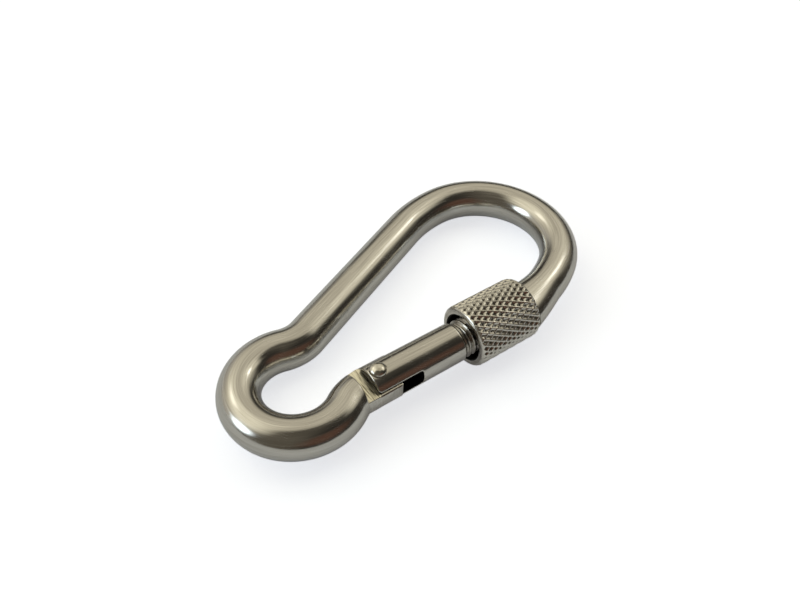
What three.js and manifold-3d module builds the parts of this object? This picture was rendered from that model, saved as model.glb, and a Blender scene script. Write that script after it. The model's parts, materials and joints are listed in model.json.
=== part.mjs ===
// Screw-sleeve snap hook: a bent round bar with a large and a small bow, closed by a sprung gate.
//
// Millimetres, +Z up. Everything is drawn in the gate's own frame: the hinge pin stands at the
// origin along Z, +X runs along the closed gate to the bar's nose, and +Y points into the hook.
// The last lines turn that frame until the line through the two bows lies along X, and move the
// middle of the hook's box to the origin.

import * as THREE from "three";
import { mergeVertices } from "three/addons/utils/BufferGeometryUtils.js";
import Module from "manifold-3d";

const wasm = await Module();
wasm.setup();

// ---------------------------------------------------------------------------- driving dimensions

const DEGREE = Math.PI / 180;

// Bar and bows, measured on the bar's centreline.
const BAR_RADIUS = 5.4;
const BOW_SPACING = 73.6;
const BIG_BOW_RADIUS = 21.7;
const SMALL_BOW_RADIUS = 13.5;
const GATE_ANGLE = 12 * DEGREE;
const SPINE_ANGLE = 12 * DEGREE;
const GATE_OFFSET = 9.25;
const SPINE_OFFSET = 7.75;
const HINGE_SETBACK = 17.7;
const HINGE_FILLET = 11;
const SPINE_FILLET = 11;
const SHOULDER_RADIUS = 40;
const NOSE_FLARE = 2.3;
const NOSE_FLARE_LENGTH = 10;
const NOSE_FLARE_RISE = 0.3;

// Hinge: the bar's flat tang between the gate's two cheeks.
const TANG_THICKNESS = 4.3;
const TANG_STEP = 6;
const TANG_ROOT = 1.6;
const TANG_BULGE = 0.55;
const TANG_END = 4.2;
const TANG_END_TAPER = 1;
const TANG_END_RISE = 0.7;
const CAM_RADIUS = 6;
const CAM_OFFSET = 2.2;
const OPENING_ANGLE = 30 * DEGREE;
const CAM_EXTRA_ANGLE = 3 * DEGREE;
const PIN_RADIUS = 1.6;
const RIVET_HEAD_RADIUS = 2.2;
const RIVET_HEAD_HEIGHT = 1.2;
const RIVET_SEAT_DEPTH = 0.4;
const RIVET_DOME_PART = 0.85;

// Gate: a tube with a threaded front half and a T-shaped tongue.
const GATE_RADIUS = BAR_RADIUS - 0.11;
const GATE_BACK = 2.6;
const GATE_EDGE = 1;
const GATE_SHOULDER = 24.6;
const GATE_SHOULDER_EDGE = 1.2;
const BORE_RADIUS = 3;
const BORE_END = 36.5;
const WINDOW_END = 10.4;
const THREAD_CREST = GATE_RADIUS - 0.29;
const THREAD_DEPTH = 0.7;
const THREAD_PITCH = 1.5;
const THREAD_LENGTH = 15;
const THREAD_RISE_PART = 0.1;
const THREAD_CREST_PART = 0.45;
const THREAD_FALL_PART = 0.65;
const THREAD_RUN_IN = 0.3;
const THREAD_RUN_OUT = 0.7;
const TONGUE_NECK_WIDTH = 3;
const TONGUE_NECK_LENGTH = 2.2;
const TONGUE_HEAD_WIDTH = 6;
const TONGUE_HEAD_LENGTH = 2.2;
const TONGUE_HALF_HEIGHT = 3.4;

// Screw sleeve.
const SLEEVE_RADIUS = GATE_RADIUS + 3.19;
const SLEEVE_RIM_RADIUS = SLEEVE_RADIUS - 0.93;
const SLEEVE_RIM_LENGTH = 0.9;
const SLEEVE_BACK = 26.6;
const SLEEVE_LENGTH = 19.9;
const SLEEVE_MOUTH_RADIUS = GATE_RADIUS + 1.11;
const SLEEVE_TRAVEL = 8.5;
const SLEEVE_NOSE_DEPTH = 6;
const SLEEVE_NOSE_CONE = 0.4;

// Spring and plunger in the gate's bore.
const PLUNGER_HEAD_LENGTH = 3;
const PLUNGER_STEM_RADIUS = 1.45;
const PLUNGER_STEM_LENGTH = 5;
const PLUNGER_EDGE = 0.5;
const WIRE_RADIUS = 0.35;
const SPRING_TURNS = 11;

// Clearances.
const TANG_CLEARANCE = 0.25;
const CAM_CLEARANCE = 0.2;
const PIN_CLEARANCE = 0.15;
const PLUNGER_CLEARANCE = 0.25;
const SPRING_CLEARANCE = 0.3;
const THREAD_CLEARANCE = 0.2;
const NOSE_CLEARANCE = 0.3;
const SWING_CLEARANCE = 0.2;
const TONGUE_CLEARANCE = 0.45;

// How far solids that are joined run into each other.
const OVERLAP = 1;

// Fineness of the round shapes.
const BAR_SIDES = 24;
const BAR_STEPS = 100;
const LATHE_SIDES = 32;
const SWING_SIDES = 180;
const WIRE_SIDES = 6;
const WIRE_STEPS_PER_TURN = 14;

// ------------------------------------------------------------------------------- worked-out sizes

const SLEEVE_FRONT = SLEEVE_BACK + SLEEVE_LENGTH;
const SLEEVE_MOUTH_DEPTH = SLEEVE_TRAVEL - (SLEEVE_BACK - GATE_SHOULDER) + NOSE_CLEARANCE;
const SLEEVE_BORE = THREAD_CREST + THREAD_CLEARANCE;
const NOSE_SWING = Math.hypot(SLEEVE_FRONT, SLEEVE_RIM_RADIUS) + SWING_CLEARANCE;
const GATE_SWING = NOSE_SWING - NOSE_CLEARANCE;
const SLOT_HALF = TANG_THICKNESS / 2 + TANG_CLEARANCE;
const CAM_TIP = Math.hypot(CAM_RADIUS + CAM_OFFSET * (OPENING_ANGLE + CAM_EXTRA_ANGLE), CAM_OFFSET);
const SLOT_END = CAM_TIP + TANG_CLEARANCE;
const PLUNGER_FACE = CAM_RADIUS + CAM_CLEARANCE;
const PLUNGER_SHOULDER = PLUNGER_FACE + PLUNGER_HEAD_LENGTH;
const PLUNGER_RADIUS = BORE_RADIUS - PLUNGER_CLEARANCE;
const COIL_RADIUS = BORE_RADIUS - SPRING_CLEARANCE - WIRE_RADIUS;

// ------------------------------------------------------------------------------------ solid tools

/** A closed geometry as a manifold solid. */
function solidOf(geometry) {
  const bare = geometry.clone();
  bare.deleteAttribute("normal");
  bare.deleteAttribute("uv");
  const merged = mergeVertices(bare, 1e-4);
  const vertProperties = new Float32Array(merged.attributes.position.array);
  const triVerts = new Uint32Array(merged.index.array);
  return new wasm.Manifold(new wasm.Mesh({ numProp: 3, vertProperties, triVerts }));
}

/** A manifold solid as a geometry with flat normals. */
function geometryOf(solid) {
  const mesh = solid.getMesh();
  const indexed = new THREE.BufferGeometry();
  indexed.setAttribute("position", new THREE.BufferAttribute(mesh.vertProperties, 3));
  indexed.setIndex(new THREE.BufferAttribute(mesh.triVerts, 1));
  const flat = indexed.toNonIndexed();
  flat.computeVertexNormals();
  return flat;
}

/** A box between two corners. */
function box(low, high) {
  const size = high.map((value, axis) => value - low[axis]);
  const middle = high.map((value, axis) => (value + low[axis]) / 2);
  return solidOf(new THREE.BoxGeometry(...size).translate(...middle));
}

/** A round shape about the gate's axis from [x, radius] pairs, in order from front to back. */
function turned(profile, sides = LATHE_SIDES) {
  const points = profile.map(([x, radius]) => new THREE.Vector2(radius, x));
  return solidOf(new THREE.LatheGeometry(points, sides).rotateZ(-Math.PI / 2));
}

/** A plain round bar along Z about the hinge pin. */
function pillar(radius, low, high, sides = LATHE_SIDES) {
  const length = high - low;
  const geometry = new THREE.CylinderGeometry(radius, radius, length, sides);
  return solidOf(geometry.rotateX(Math.PI / 2).translate(0, 0, (low + high) / 2));
}

/** A quarter-round edge as [x, radius] pairs, from one angle to another about its centre. */
function roundedEdge(x, radius, edge, from, to, steps = 3) {
  const points = [];
  for (let step = 0; step <= steps; step += 1) {
    const angle = from + ((to - from) * step) / steps;
    points.push([x + edge * Math.cos(angle), radius + edge * Math.sin(angle)]);
  }
  return points;
}

/** A flat path in the plane of the hook, as a curve in space. */
class HookCurve extends THREE.Curve {
  constructor(path) {
    super();
    this.path = path;
    this.arcLengthDivisions = 600;
  }

  getPoint(t, target = new THREE.Vector3()) {
    const point = this.path.getPoint(t);
    return target.set(point.x, point.y, 0);
  }
}

/** A helix about the gate's axis. */
class CoilCurve extends THREE.Curve {
  constructor(radius, start, end, turns) {
    super();
    Object.assign(this, { radius, start, end, turns });
  }

  getPoint(t, target = new THREE.Vector3()) {
    const angle = 2 * Math.PI * this.turns * t;
    const x = this.start + (this.end - this.start) * t;
    return target.set(x, this.radius * Math.cos(angle), this.radius * Math.sin(angle));
  }
}

/** A round section with an even number of sides, swept along a curve. */
function swept(curve, radius, sides, steps) {
  const section = new THREE.Shape().absarc(0, 0, radius, 0, 2 * Math.PI);
  const curveSegments = sides / 2;
  return new THREE.ExtrudeGeometry(section, { extrudePath: curve, steps, curveSegments });
}

// ------------------------------------------------------------------------------------ hook body

/** Centres of the two bows, in the gate's frame. */
function bowCentres() {
  const small = new THREE.Vector2(-HINGE_SETBACK, GATE_OFFSET);
  const along = new THREE.Vector2(Math.cos(GATE_ANGLE), Math.sin(GATE_ANGLE));
  const big = small.clone().addScaledVector(along, BOW_SPACING);
  return { small, big };
}

/** Where the nose's wide shoulder arc has its centre. */
function noseShoulder() {
  const { big } = bowCentres();
  const drop = SHOULDER_RADIUS - big.y;
  const lead = Math.sqrt((SHOULDER_RADIUS - BIG_BOW_RADIUS) ** 2 - drop ** 2);
  return { drop, lead, x: big.x - lead };
}

/** The bar's centreline: hinge, small bow, spine, big bow and nose, joined by tangent arcs. */
function barPath() {
  const { small, big } = bowCentres();
  const heading = GATE_ANGLE + SPINE_ANGLE;
  const along = new THREE.Vector2(Math.cos(heading), Math.sin(heading));
  const outward = new THREE.Vector2(-along.y, along.x);

  // Fillets that turn the other way, between the small bow and the two straight lines.
  const hingeReach = SMALL_BOW_RADIUS + HINGE_FILLET;
  const hingeRun = Math.sqrt(hingeReach ** 2 - (GATE_OFFSET + HINGE_FILLET) ** 2);
  const hingeTurn = Math.atan2(GATE_OFFSET + HINGE_FILLET, -hingeRun);
  const hingeX = small.x + hingeRun;
  const spineReach = SMALL_BOW_RADIUS + SPINE_FILLET;
  const spineRun = Math.sqrt(spineReach ** 2 - (SPINE_OFFSET + SPINE_FILLET) ** 2);
  const spineTurn = heading + Math.atan2(SPINE_OFFSET + SPINE_FILLET, spineRun);
  const spineCentre = small
    .clone()
    .addScaledVector(along, spineRun)
    .addScaledVector(outward, SPINE_OFFSET + SPINE_FILLET);

  // Wide shoulders between the two straight lines and the big bow.
  const shoulderReach = SHOULDER_RADIUS - BIG_BOW_RADIUS;
  const spineDrop = SHOULDER_RADIUS - outward.dot(small.clone().sub(big)) - SPINE_OFFSET;
  const spineLead = Math.sqrt(shoulderReach ** 2 - spineDrop ** 2);
  const spineShoulder = big
    .clone()
    .addScaledVector(along, -spineLead)
    .addScaledVector(outward, -spineDrop);
  const bigStart = heading + Math.atan2(spineDrop, spineLead);
  const nose = noseShoulder();
  const bigEnd = -Math.atan2(nose.drop, nose.lead);

  const path = new THREE.Path();
  path.moveTo(hingeX + BAR_RADIUS, 0);
  path.lineTo(hingeX, 0);
  path.absarc(hingeX, -HINGE_FILLET, HINGE_FILLET, Math.PI / 2, hingeTurn, false);
  path.absarc(small.x, small.y, SMALL_BOW_RADIUS, hingeTurn + Math.PI, spineTurn, true);
  path.absarc(
    spineCentre.x,
    spineCentre.y,
    SPINE_FILLET,
    spineTurn - Math.PI,
    heading - Math.PI / 2,
    false,
  );
  path.absarc(
    spineShoulder.x,
    spineShoulder.y,
    SHOULDER_RADIUS,
    heading + Math.PI / 2,
    bigStart,
    true,
  );
  path.absarc(big.x, big.y, BIG_BOW_RADIUS, bigStart, bigEnd, true);
  path.absarc(nose.x, SHOULDER_RADIUS, SHOULDER_RADIUS, bigEnd, -Math.PI / 2, true);
  return path;
}

/** Side outline of the tang, whose inner end is an involute cam that drives the plunger evenly. */
function tangOutline() {
  const root = -TANG_STEP - TANG_ROOT;
  const outer = -GATE_RADIUS - TANG_BULGE;
  const shape = new THREE.Shape();
  shape.moveTo(root, -GATE_RADIUS);
  shape.lineTo(-TANG_STEP, outer);
  shape.lineTo(-GATE_BACK / 2, outer);
  shape.lineTo(TANG_END - TANG_END_TAPER, -GATE_RADIUS);
  shape.lineTo(TANG_END, -GATE_RADIUS + TANG_END_RISE);
  shape.lineTo(CAM_RADIUS, -GATE_RADIUS / 3);
  const steps = 8;
  for (let step = 0; step <= steps; step += 1) {
    const turn = ((OPENING_ANGLE + CAM_EXTRA_ANGLE) * step) / steps;
    const reach = CAM_RADIUS + CAM_OFFSET * turn;
    const x = reach * Math.cos(turn) - CAM_OFFSET * Math.sin(turn);
    const y = reach * Math.sin(turn) + CAM_OFFSET * Math.cos(turn);
    shape.lineTo(x, y);
  }
  shape.lineTo(-GATE_BACK, GATE_RADIUS);
  shape.lineTo(root, GATE_OFFSET / 2);
  shape.closePath();
  return shape;
}

/** The flat tang, trimmed to the bar's roundness and bored for the rivet. */
function tang() {
  const plate = new THREE.ExtrudeGeometry(tangOutline(), {
    depth: TANG_THICKNESS,
    bevelEnabled: false,
  }).translate(0, 0, -TANG_THICKNESS / 2);
  const reach = TANG_STEP + TANG_ROOT + OVERLAP;
  const radius = GATE_RADIUS + TANG_BULGE;
  const round = turned([
    [-reach, 0],
    [-reach, radius],
    [reach, radius],
    [reach, 0],
  ]);
  const bore = pillar(PIN_RADIUS + PIN_CLEARANCE, -TANG_THICKNESS, TANG_THICKNESS);
  return solidOf(plate).intersect(round).subtract(bore);
}

/** The short swelling on the outer side of the nose, which the sleeve's front face stands against. */
function noseFlare() {
  const start = new THREE.Vector3(SLEEVE_FRONT - 2 * NOSE_FLARE, -NOSE_FLARE, 0);
  const endX = SLEEVE_FRONT + NOSE_FLARE_LENGTH;
  const run = endX - noseShoulder().x;
  const endY = SHOULDER_RADIUS - Math.sqrt(SHOULDER_RADIUS ** 2 - run ** 2);
  const end = new THREE.Vector3(endX, endY + NOSE_FLARE_RISE, 0);
  const line = new THREE.LineCurve3(start, end);
  return solidOf(swept(line, BAR_RADIUS, BAR_SIDES, 2));
}

/** The T-shaped pocket in the nose, open on the inner side, that takes the gate's tongue. */
function tonguePocket() {
  const floor = -TONGUE_HALF_HEIGHT - NOSE_CLEARANCE;
  const top = 2 * BAR_RADIUS;
  const neckHalf = TONGUE_NECK_WIDTH / 2 + TONGUE_CLEARANCE;
  const headHalf = TONGUE_HEAD_WIDTH / 2 + TONGUE_CLEARANCE;
  const headBack = GATE_SWING + TONGUE_NECK_LENGTH - TONGUE_CLEARANCE;
  const headFront = GATE_SWING + TONGUE_NECK_LENGTH + TONGUE_HEAD_LENGTH + TONGUE_CLEARANCE;
  const neckEnd = headBack + OVERLAP;
  const neck = box([SLEEVE_FRONT - OVERLAP, floor, -neckHalf], [neckEnd, top, neckHalf]);
  const head = box([headBack, floor, -headHalf], [headFront, top, headHalf]);
  return neck.add(head);
}

/** The bent bar with its tang and its nose. */
function hookBody() {
  const bar = solidOf(swept(new HookCurve(barPath()), BAR_RADIUS, BAR_SIDES, BAR_STEPS));
  const room = 2 * GATE_RADIUS;
  const gateRoom = box([-TANG_STEP, -room, -room], [2 * GATE_RADIUS, room, room]);
  const swing = pillar(NOSE_SWING, -room, room, SWING_SIDES);
  const noseRoom = swing.intersect(
    box([GATE_SHOULDER, -room, -room], [NOSE_SWING + OVERLAP, room, room]),
  );
  return bar
    .add(noseFlare())
    .subtract(gateRoom)
    .subtract(noseRoom)
    .add(tang())
    .subtract(tonguePocket());
}

// ----------------------------------------------------------------------------------------- gate

/** The thread as even ridges, from its back end forward. */
function threadProfile(start) {
  const root = THREAD_CREST - THREAD_DEPTH;
  const points = [];
  for (let x = start; x < start + THREAD_LENGTH; x += THREAD_PITCH) {
    points.push([x + THREAD_RISE_PART * THREAD_PITCH, root]);
    points.push([x + THREAD_CREST_PART * THREAD_PITCH, THREAD_CREST]);
    points.push([x + THREAD_FALL_PART * THREAD_PITCH, THREAD_CREST]);
    points.push([x + THREAD_PITCH, root]);
  }
  return points;
}

/** The gate tube with its blind bore, fork, window, thread and tongue. */
function gateTube() {
  const root = THREAD_CREST - THREAD_DEPTH;
  const threadStart = GATE_SHOULDER + THREAD_RUN_IN;
  const tube = turned([
    [BORE_END, 0],
    [BORE_END, BORE_RADIUS],
    [-GATE_BACK, BORE_RADIUS],
    ...roundedEdge(
      -GATE_BACK + GATE_EDGE,
      GATE_RADIUS - GATE_EDGE,
      GATE_EDGE,
      Math.PI,
      Math.PI / 2,
    ),
    ...roundedEdge(
      GATE_SHOULDER - GATE_SHOULDER_EDGE,
      GATE_RADIUS - GATE_SHOULDER_EDGE,
      GATE_SHOULDER_EDGE,
      Math.PI / 2,
      Math.asin((root - GATE_RADIUS + GATE_SHOULDER_EDGE) / GATE_SHOULDER_EDGE),
    ),
    ...threadProfile(threadStart),
    [threadStart + THREAD_LENGTH + THREAD_RUN_OUT, THREAD_CREST],
    [NOSE_SWING, THREAD_CREST],
    [NOSE_SWING, 0],
  ]);
  const room = 2 * GATE_RADIUS;
  const swing = pillar(GATE_SWING, -room, room, SWING_SIDES);
  const fork = box([-room, -room, -SLOT_HALF], [SLOT_END, room, SLOT_HALF]);
  const window = box([0, -room, -SLOT_HALF], [WINDOW_END, 0, SLOT_HALF]);
  const pinHole = pillar(PIN_RADIUS + PIN_CLEARANCE, -room, room);
  const seatFloor = GATE_RADIUS - RIVET_SEAT_DEPTH;
  const seatRadius = RIVET_HEAD_RADIUS + PIN_CLEARANCE;
  const upperSeat = pillar(seatRadius, seatFloor, room);
  const lowerSeat = pillar(seatRadius, -room, -seatFloor);
  return tube
    .intersect(swing)
    .subtract(fork)
    .subtract(window)
    .subtract(pinHole)
    .subtract(upperSeat)
    .subtract(lowerSeat)
    .add(tongue());
}

/** The T-shaped tongue on the gate's front end. */
function tongue() {
  const neckHalf = TONGUE_NECK_WIDTH / 2;
  const headHalf = TONGUE_HEAD_WIDTH / 2;
  const headBack = GATE_SWING + TONGUE_NECK_LENGTH;
  const headFront = headBack + TONGUE_HEAD_LENGTH;
  const high = TONGUE_HALF_HEIGHT;
  const neckEnd = headBack + OVERLAP;
  const neck = box([GATE_SWING - OVERLAP, -high, -neckHalf], [neckEnd, high, neckHalf]);
  const head = box([headBack, -high, -headHalf], [headFront, high, headHalf]);
  return neck.add(head);
}

/** The hinge rivet: a plain pin with a domed head on each side of the gate. */
function hingeRivet() {
  const seat = GATE_RADIUS - RIVET_SEAT_DEPTH + PIN_CLEARANCE;
  const crown = GATE_RADIUS + RIVET_HEAD_HEIGHT;
  const waist = crown - RIVET_DOME_PART * RIVET_HEAD_HEIGHT;
  const steps = 6;
  const head = [[seat, PIN_RADIUS], [seat, RIVET_HEAD_RADIUS]];
  for (let step = 0; step <= steps; step += 1) {
    const angle = (Math.PI / 2) * (step / steps);
    const x = waist + (crown - waist) * Math.sin(angle);
    head.push([x, step === steps ? 0 : RIVET_HEAD_RADIUS * Math.cos(angle)]);
  }
  const mirrored = head.map(([x, radius]) => [-x, radius]).reverse();
  return turned([...mirrored, ...head], 24);
}

// -------------------------------------------------------------------- spring, plunger and sleeve

/** The plunger: a head in the gate's bore and a stem that guides the spring. */
function springPlunger() {
  const tip = PLUNGER_SHOULDER + PLUNGER_STEM_LENGTH;
  return turned(
    [
      [PLUNGER_FACE, 0],
      [PLUNGER_FACE, PLUNGER_RADIUS - PLUNGER_EDGE],
      [PLUNGER_FACE + PLUNGER_EDGE, PLUNGER_RADIUS],
      [PLUNGER_SHOULDER, PLUNGER_RADIUS],
      [PLUNGER_SHOULDER, PLUNGER_STEM_RADIUS],
      [tip - PLUNGER_EDGE, PLUNGER_STEM_RADIUS],
      [tip, PLUNGER_STEM_RADIUS - PLUNGER_EDGE],
      [tip, 0],
    ],
    24,
  );
}

/** The compression spring between the plunger's head and the end of the bore. */
function returnSpring() {
  const start = PLUNGER_SHOULDER + WIRE_RADIUS + SPRING_CLEARANCE;
  const end = BORE_END - WIRE_RADIUS - SPRING_CLEARANCE;
  const coil = new CoilCurve(COIL_RADIUS, start, end, SPRING_TURNS);
  return solidOf(swept(coil, WIRE_RADIUS, WIRE_SIDES, SPRING_TURNS * WIRE_STEPS_PER_TURN));
}

/** The screw sleeve, with a wide mouth that clears the gate's shoulder when it is screwed back. */
function screwSleeve() {
  const mouthEnd = SLEEVE_BACK + SLEEVE_MOUTH_DEPTH;
  const noseStart = SLEEVE_FRONT - SLEEVE_NOSE_DEPTH;
  const noseBore = BAR_RADIUS + THREAD_CLEARANCE;
  const rise = SLEEVE_RADIUS - SLEEVE_RIM_RADIUS;
  const bevel = [0, 0.35, 0.7, 1].map((part) => [
    SLEEVE_RIM_LENGTH * (1 - Math.sqrt(1 - part ** 2)),
    SLEEVE_RIM_RADIUS + rise * part,
  ]);
  const back = bevel.map(([depth, radius]) => [SLEEVE_BACK + depth, radius]);
  const front = bevel.map(([depth, radius]) => [SLEEVE_FRONT - depth, radius]).reverse();
  return turned([
    [SLEEVE_BACK, SLEEVE_MOUTH_RADIUS],
    ...back,
    ...front,
    [SLEEVE_FRONT, noseBore],
    [noseStart, noseBore],
    [noseStart - SLEEVE_NOSE_CONE, SLEEVE_BORE],
    [mouthEnd, SLEEVE_BORE],
    [mouthEnd, SLEEVE_MOUTH_RADIUS],
    [SLEEVE_BACK, SLEEVE_MOUTH_RADIUS],
  ]);
}

// ------------------------------------------------------------------------------------- assembly

/** One named piece of the hook. */
function piece(name, solid, color, roughness) {
  const material = new THREE.MeshStandardMaterial({ color, roughness, metalness: 1 });
  const mesh = new THREE.Mesh(geometryOf(solid), material);
  mesh.name = name;
  return mesh;
}

const hook = new THREE.Group();
const rivet = piece("hinge_rivet", hingeRivet(), 0xc9c5b4, 0.25);
rivet.rotation.y = Math.PI / 2;
hook.add(
  piece("hook_body", hookBody(), 0xb9b5a4, 0.18),
  piece("gate", gateTube(), 0xb4b09f, 0.2),
  rivet,
  piece("spring_plunger", springPlunger(), 0x8d8a80, 0.4),
  piece("return_spring", returnSpring(), 0x9a978d, 0.35),
  piece("screw_sleeve", screwSleeve(), 0xa09c8c, 0.35),
);
hook.rotation.z = -GATE_ANGLE;

// The middle of the hook's box becomes the origin.
const part = new THREE.Group();
part.add(hook);
part.updateMatrixWorld(true);
const middle = new THREE.Box3().setFromObject(hook, true).getCenter(new THREE.Vector3());
hook.position.sub(middle);
part.updateMatrixWorld(true);

export default part;
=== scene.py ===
"""A screw-sleeve snap hook in polished stainless steel, lying on a pale floor."""

import json
import logging
import math
from collections.abc import Callable
from dataclasses import dataclass, field
from enum import Enum

import bpy
import numpy as np
from mathutils import Matrix, Vector


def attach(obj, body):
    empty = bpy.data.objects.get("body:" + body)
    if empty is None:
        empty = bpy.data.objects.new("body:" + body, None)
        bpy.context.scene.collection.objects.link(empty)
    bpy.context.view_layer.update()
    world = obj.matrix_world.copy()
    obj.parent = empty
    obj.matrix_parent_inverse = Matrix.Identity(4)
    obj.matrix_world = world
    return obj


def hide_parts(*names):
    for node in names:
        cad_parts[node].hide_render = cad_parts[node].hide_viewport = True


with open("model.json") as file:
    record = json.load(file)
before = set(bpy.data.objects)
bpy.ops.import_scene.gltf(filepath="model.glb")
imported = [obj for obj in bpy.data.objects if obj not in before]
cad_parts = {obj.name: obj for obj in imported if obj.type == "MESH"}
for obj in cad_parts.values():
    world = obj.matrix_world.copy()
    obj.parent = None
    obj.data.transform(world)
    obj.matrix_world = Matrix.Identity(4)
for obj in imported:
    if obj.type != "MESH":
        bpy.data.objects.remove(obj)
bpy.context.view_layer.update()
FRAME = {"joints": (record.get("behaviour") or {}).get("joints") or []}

LOG = logging.getLogger("snap_hook")
MM = 0.001
TAU = 2 * math.pi
CLEAR = 0.01

# Sizes in millimetres that more than one piece shares.
BAR_RADIUS = 5.4
GATE_RADIUS = 5.29
GATE_BACK = 2.6
GATE_SWING = 47.0
NOSE_GAP = 0.3
PIN_HOLE = 1.75
THREAD_PITCH = 1.5

# How faces are picked for painting: a cosine of their tilt, and a slack in millimetres.
SQUARE = 0.9
MOSTLY = 0.8
SLACK = 0.1

# Ranges of a value: all of it, and where most of a noise falls.
WHOLE = (0.0, 1.0)
COMMON = (0.3, 0.7)

Color = tuple[float, float, float]
Socket = bpy.types.NodeSocket
Piece = bpy.types.Object


# --------------------------------------------------------------------------------------- places


@dataclass(frozen=True)
class GateFrame:
    """The gate's own frame in millimetres: rivet at the origin, +X along the gate, +Y inward."""

    pin: Vector
    along: Vector

    @classmethod
    def from_joints(cls, joints: list[dict]) -> "GateFrame":
        """Reads the frame off the model's joints.

        Args:
            joints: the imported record's joints.

        Returns:
            The frame whose origin is on the gate's hinge.
        """
        named = {joint["name"]: joint for joint in joints}
        pin = Vector(named["gate_hinge"]["pos_m"])
        along = Vector(named["plunger_slide"]["axis"]).normalized()
        return cls(pin, along)

    def to_row(self, points: np.ndarray) -> np.ndarray:
        """Moves points from this frame, in millimetres, to the row frame in metres.

        Args:
            points: an array whose last axis holds x, y and z.

        Returns:
            The same points in the row frame.
        """
        along = np.array(self.along)
        across = np.array([-along[1], along[0], 0.0])
        up = np.array([0.0, 0.0, 1.0])
        axes = np.stack([along, across, up])
        return np.array(self.pin) + (points * MM) @ axes


class Body(Enum):
    """The moving bodies that pieces ride on."""

    HOOK = "hook"
    GATE = "gate"
    PLUNGER = "plunger"
    SLEEVE = "sleeve"


# ----------------------------------------------------------------------------------- mesh tools


@dataclass
class RingSkin:
    """A surface made of equal rings of points, from one end of a piece to the other.

    Each ring has its points in the gate's frame, in millimetres. The two coordinates kept with
    the surface are the distance along the piece and the distance round it.
    """

    sides: int
    rings: list[np.ndarray] = field(default_factory=list)
    along: list[float] = field(default_factory=list)
    slots: list[int] = field(default_factory=list)

    def add(self, ring: np.ndarray, along: float, slot: int = 0) -> None:
        """Adds the next ring.

        Args:
            ring: its points, one row each.
            along: its distance along the piece, in millimetres.
            slot: the material slot of the faces between this ring and the next.
        """
        self.rings.append(ring)
        self.along.append(along)
        self.slots.append(slot)

    def turn(self, profile: list[tuple[float, float]], slot: int = 0) -> None:
        """Adds rings turned about the gate's axis.

        Args:
            profile: (x, radius) pairs in order.
            slot: the material slot of their faces.
        """
        for x, radius in profile:
            self.add(circle(x, radius, self.sides), self._next_along(x, radius), slot)

    def _next_along(self, x: float, radius: float) -> float:
        """Distance along the piece of a turned ring that follows the last one.

        Args:
            x: its place along the gate.
            radius: its radius.

        Returns:
            The distance, in millimetres.
        """
        if not self.rings:
            return 0.0
        last = self.rings[-1][0]
        return self.along[-1] + math.hypot(x - last[0], radius - math.hypot(last[1], last[2]))

    def build(self, name: str, place: GateFrame, closed: bool = False) -> Piece:
        """Makes the mesh object.

        Args:
            name: the object's name.
            place: the frame that the rings are in.
            closed: True to join the last ring to the first, as on a ring-shaped piece.

        Returns:
            The object, with one UV map that holds both distances in metres.
        """
        count, sides = len(self.rings), self.sides
        points = place.to_row(np.concatenate(self.rings))
        spans = count if closed else count - 1
        faces, coordinates, slots = [], [], []
        girth = TAU * float(np.mean([np.linalg.norm(r - r.mean(0), axis=1).mean() for r in self.rings]))
        for span in range(spans):
            here, there = span * sides, ((span + 1) % count) * sides
            low = self.along[span]
            high = self.along[span + 1] if span + 1 < count else low
            for side in range(sides):
                after = (side + 1) % sides
                faces.append((here + side, here + after, there + after, there + side))
                left, right = side / sides * girth, (side + 1) / sides * girth
                coordinates += [(low, left), (low, right), (high, right), (high, left)]
                slots.append(self.slots[span])
        if not closed:
            first = tuple(range(sides - 1, -1, -1))
            last = tuple((count - 1) * sides + side for side in range(sides))
            for face, ring, slot in ((first, 0, self.slots[0]), (last, -1, self.slots[-1])):
                faces.append(face)
                coordinates += [(self.along[ring], 0.0)] * sides
                slots.append(slot)
        mesh = bpy.data.meshes.new(name)
        mesh.from_pydata(points.tolist(), [], faces)
        layer = mesh.uv_layers.new(name="along_and_round")
        layer.data.foreach_set("uv", (np.array(coordinates) * MM).astype(np.float32).ravel())
        mesh.polygons.foreach_set("material_index", slots)
        mesh.update()
        return link(name, mesh)


def link(name: str, mesh: bpy.types.Mesh) -> Piece:
    """Puts a mesh in the scene as an object of that name.

    Args:
        name: the object's name.
        mesh: its mesh.

    Returns:
        The object.
    """
    made = bpy.data.objects.new(name, mesh)
    bpy.context.scene.collection.objects.link(made)
    return made


def circle(x: float, radius: float | np.ndarray, sides: int) -> np.ndarray:
    """A ring about the gate's axis.

    Args:
        x: its place along the gate.
        radius: one radius, or one for each point.
        sides: how many points it has.

    Returns:
        Its points, anticlockwise seen from the nose.
    """
    angle = np.arange(sides) / sides * TAU
    radii = np.broadcast_to(radius, sides)
    return np.stack([np.full(sides, x), radii * np.cos(angle), radii * np.sin(angle)], axis=1)


def arc(x: float, radius: float, edge: float, start: float, end: float, steps: int = 8) -> list:
    """Part of a rounded edge as (x, radius) pairs.

    Args:
        x: the edge's centre along the gate.
        radius: the edge's centre off the gate's axis.
        edge: the edge's own radius.
        start: the first angle in degrees, 0 towards the nose and 90 outward.
        end: the last angle in degrees.
        steps: how many parts the arc has.

    Returns:
        The pairs, in order.
    """
    angles = np.radians(np.linspace(start, end, steps + 1))
    return [(x + edge * math.cos(a), radius + edge * math.sin(a)) for a in angles]


def prism(name: str, rings: list[np.ndarray], place: GateFrame, slot: int = 0) -> Piece:
    """A closed solid lofted through equal rings, with flat ends.

    Args:
        name: the object's name.
        rings: its outlines from one end to the other.
        place: the frame that they are in.
        slot: the material slot of its faces.

    Returns:
        The solid.
    """
    skin = RingSkin(len(rings[0]))
    for index, ring in enumerate(rings):
        skin.add(ring, float(index), slot)
    return skin.build(name, place)


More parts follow.
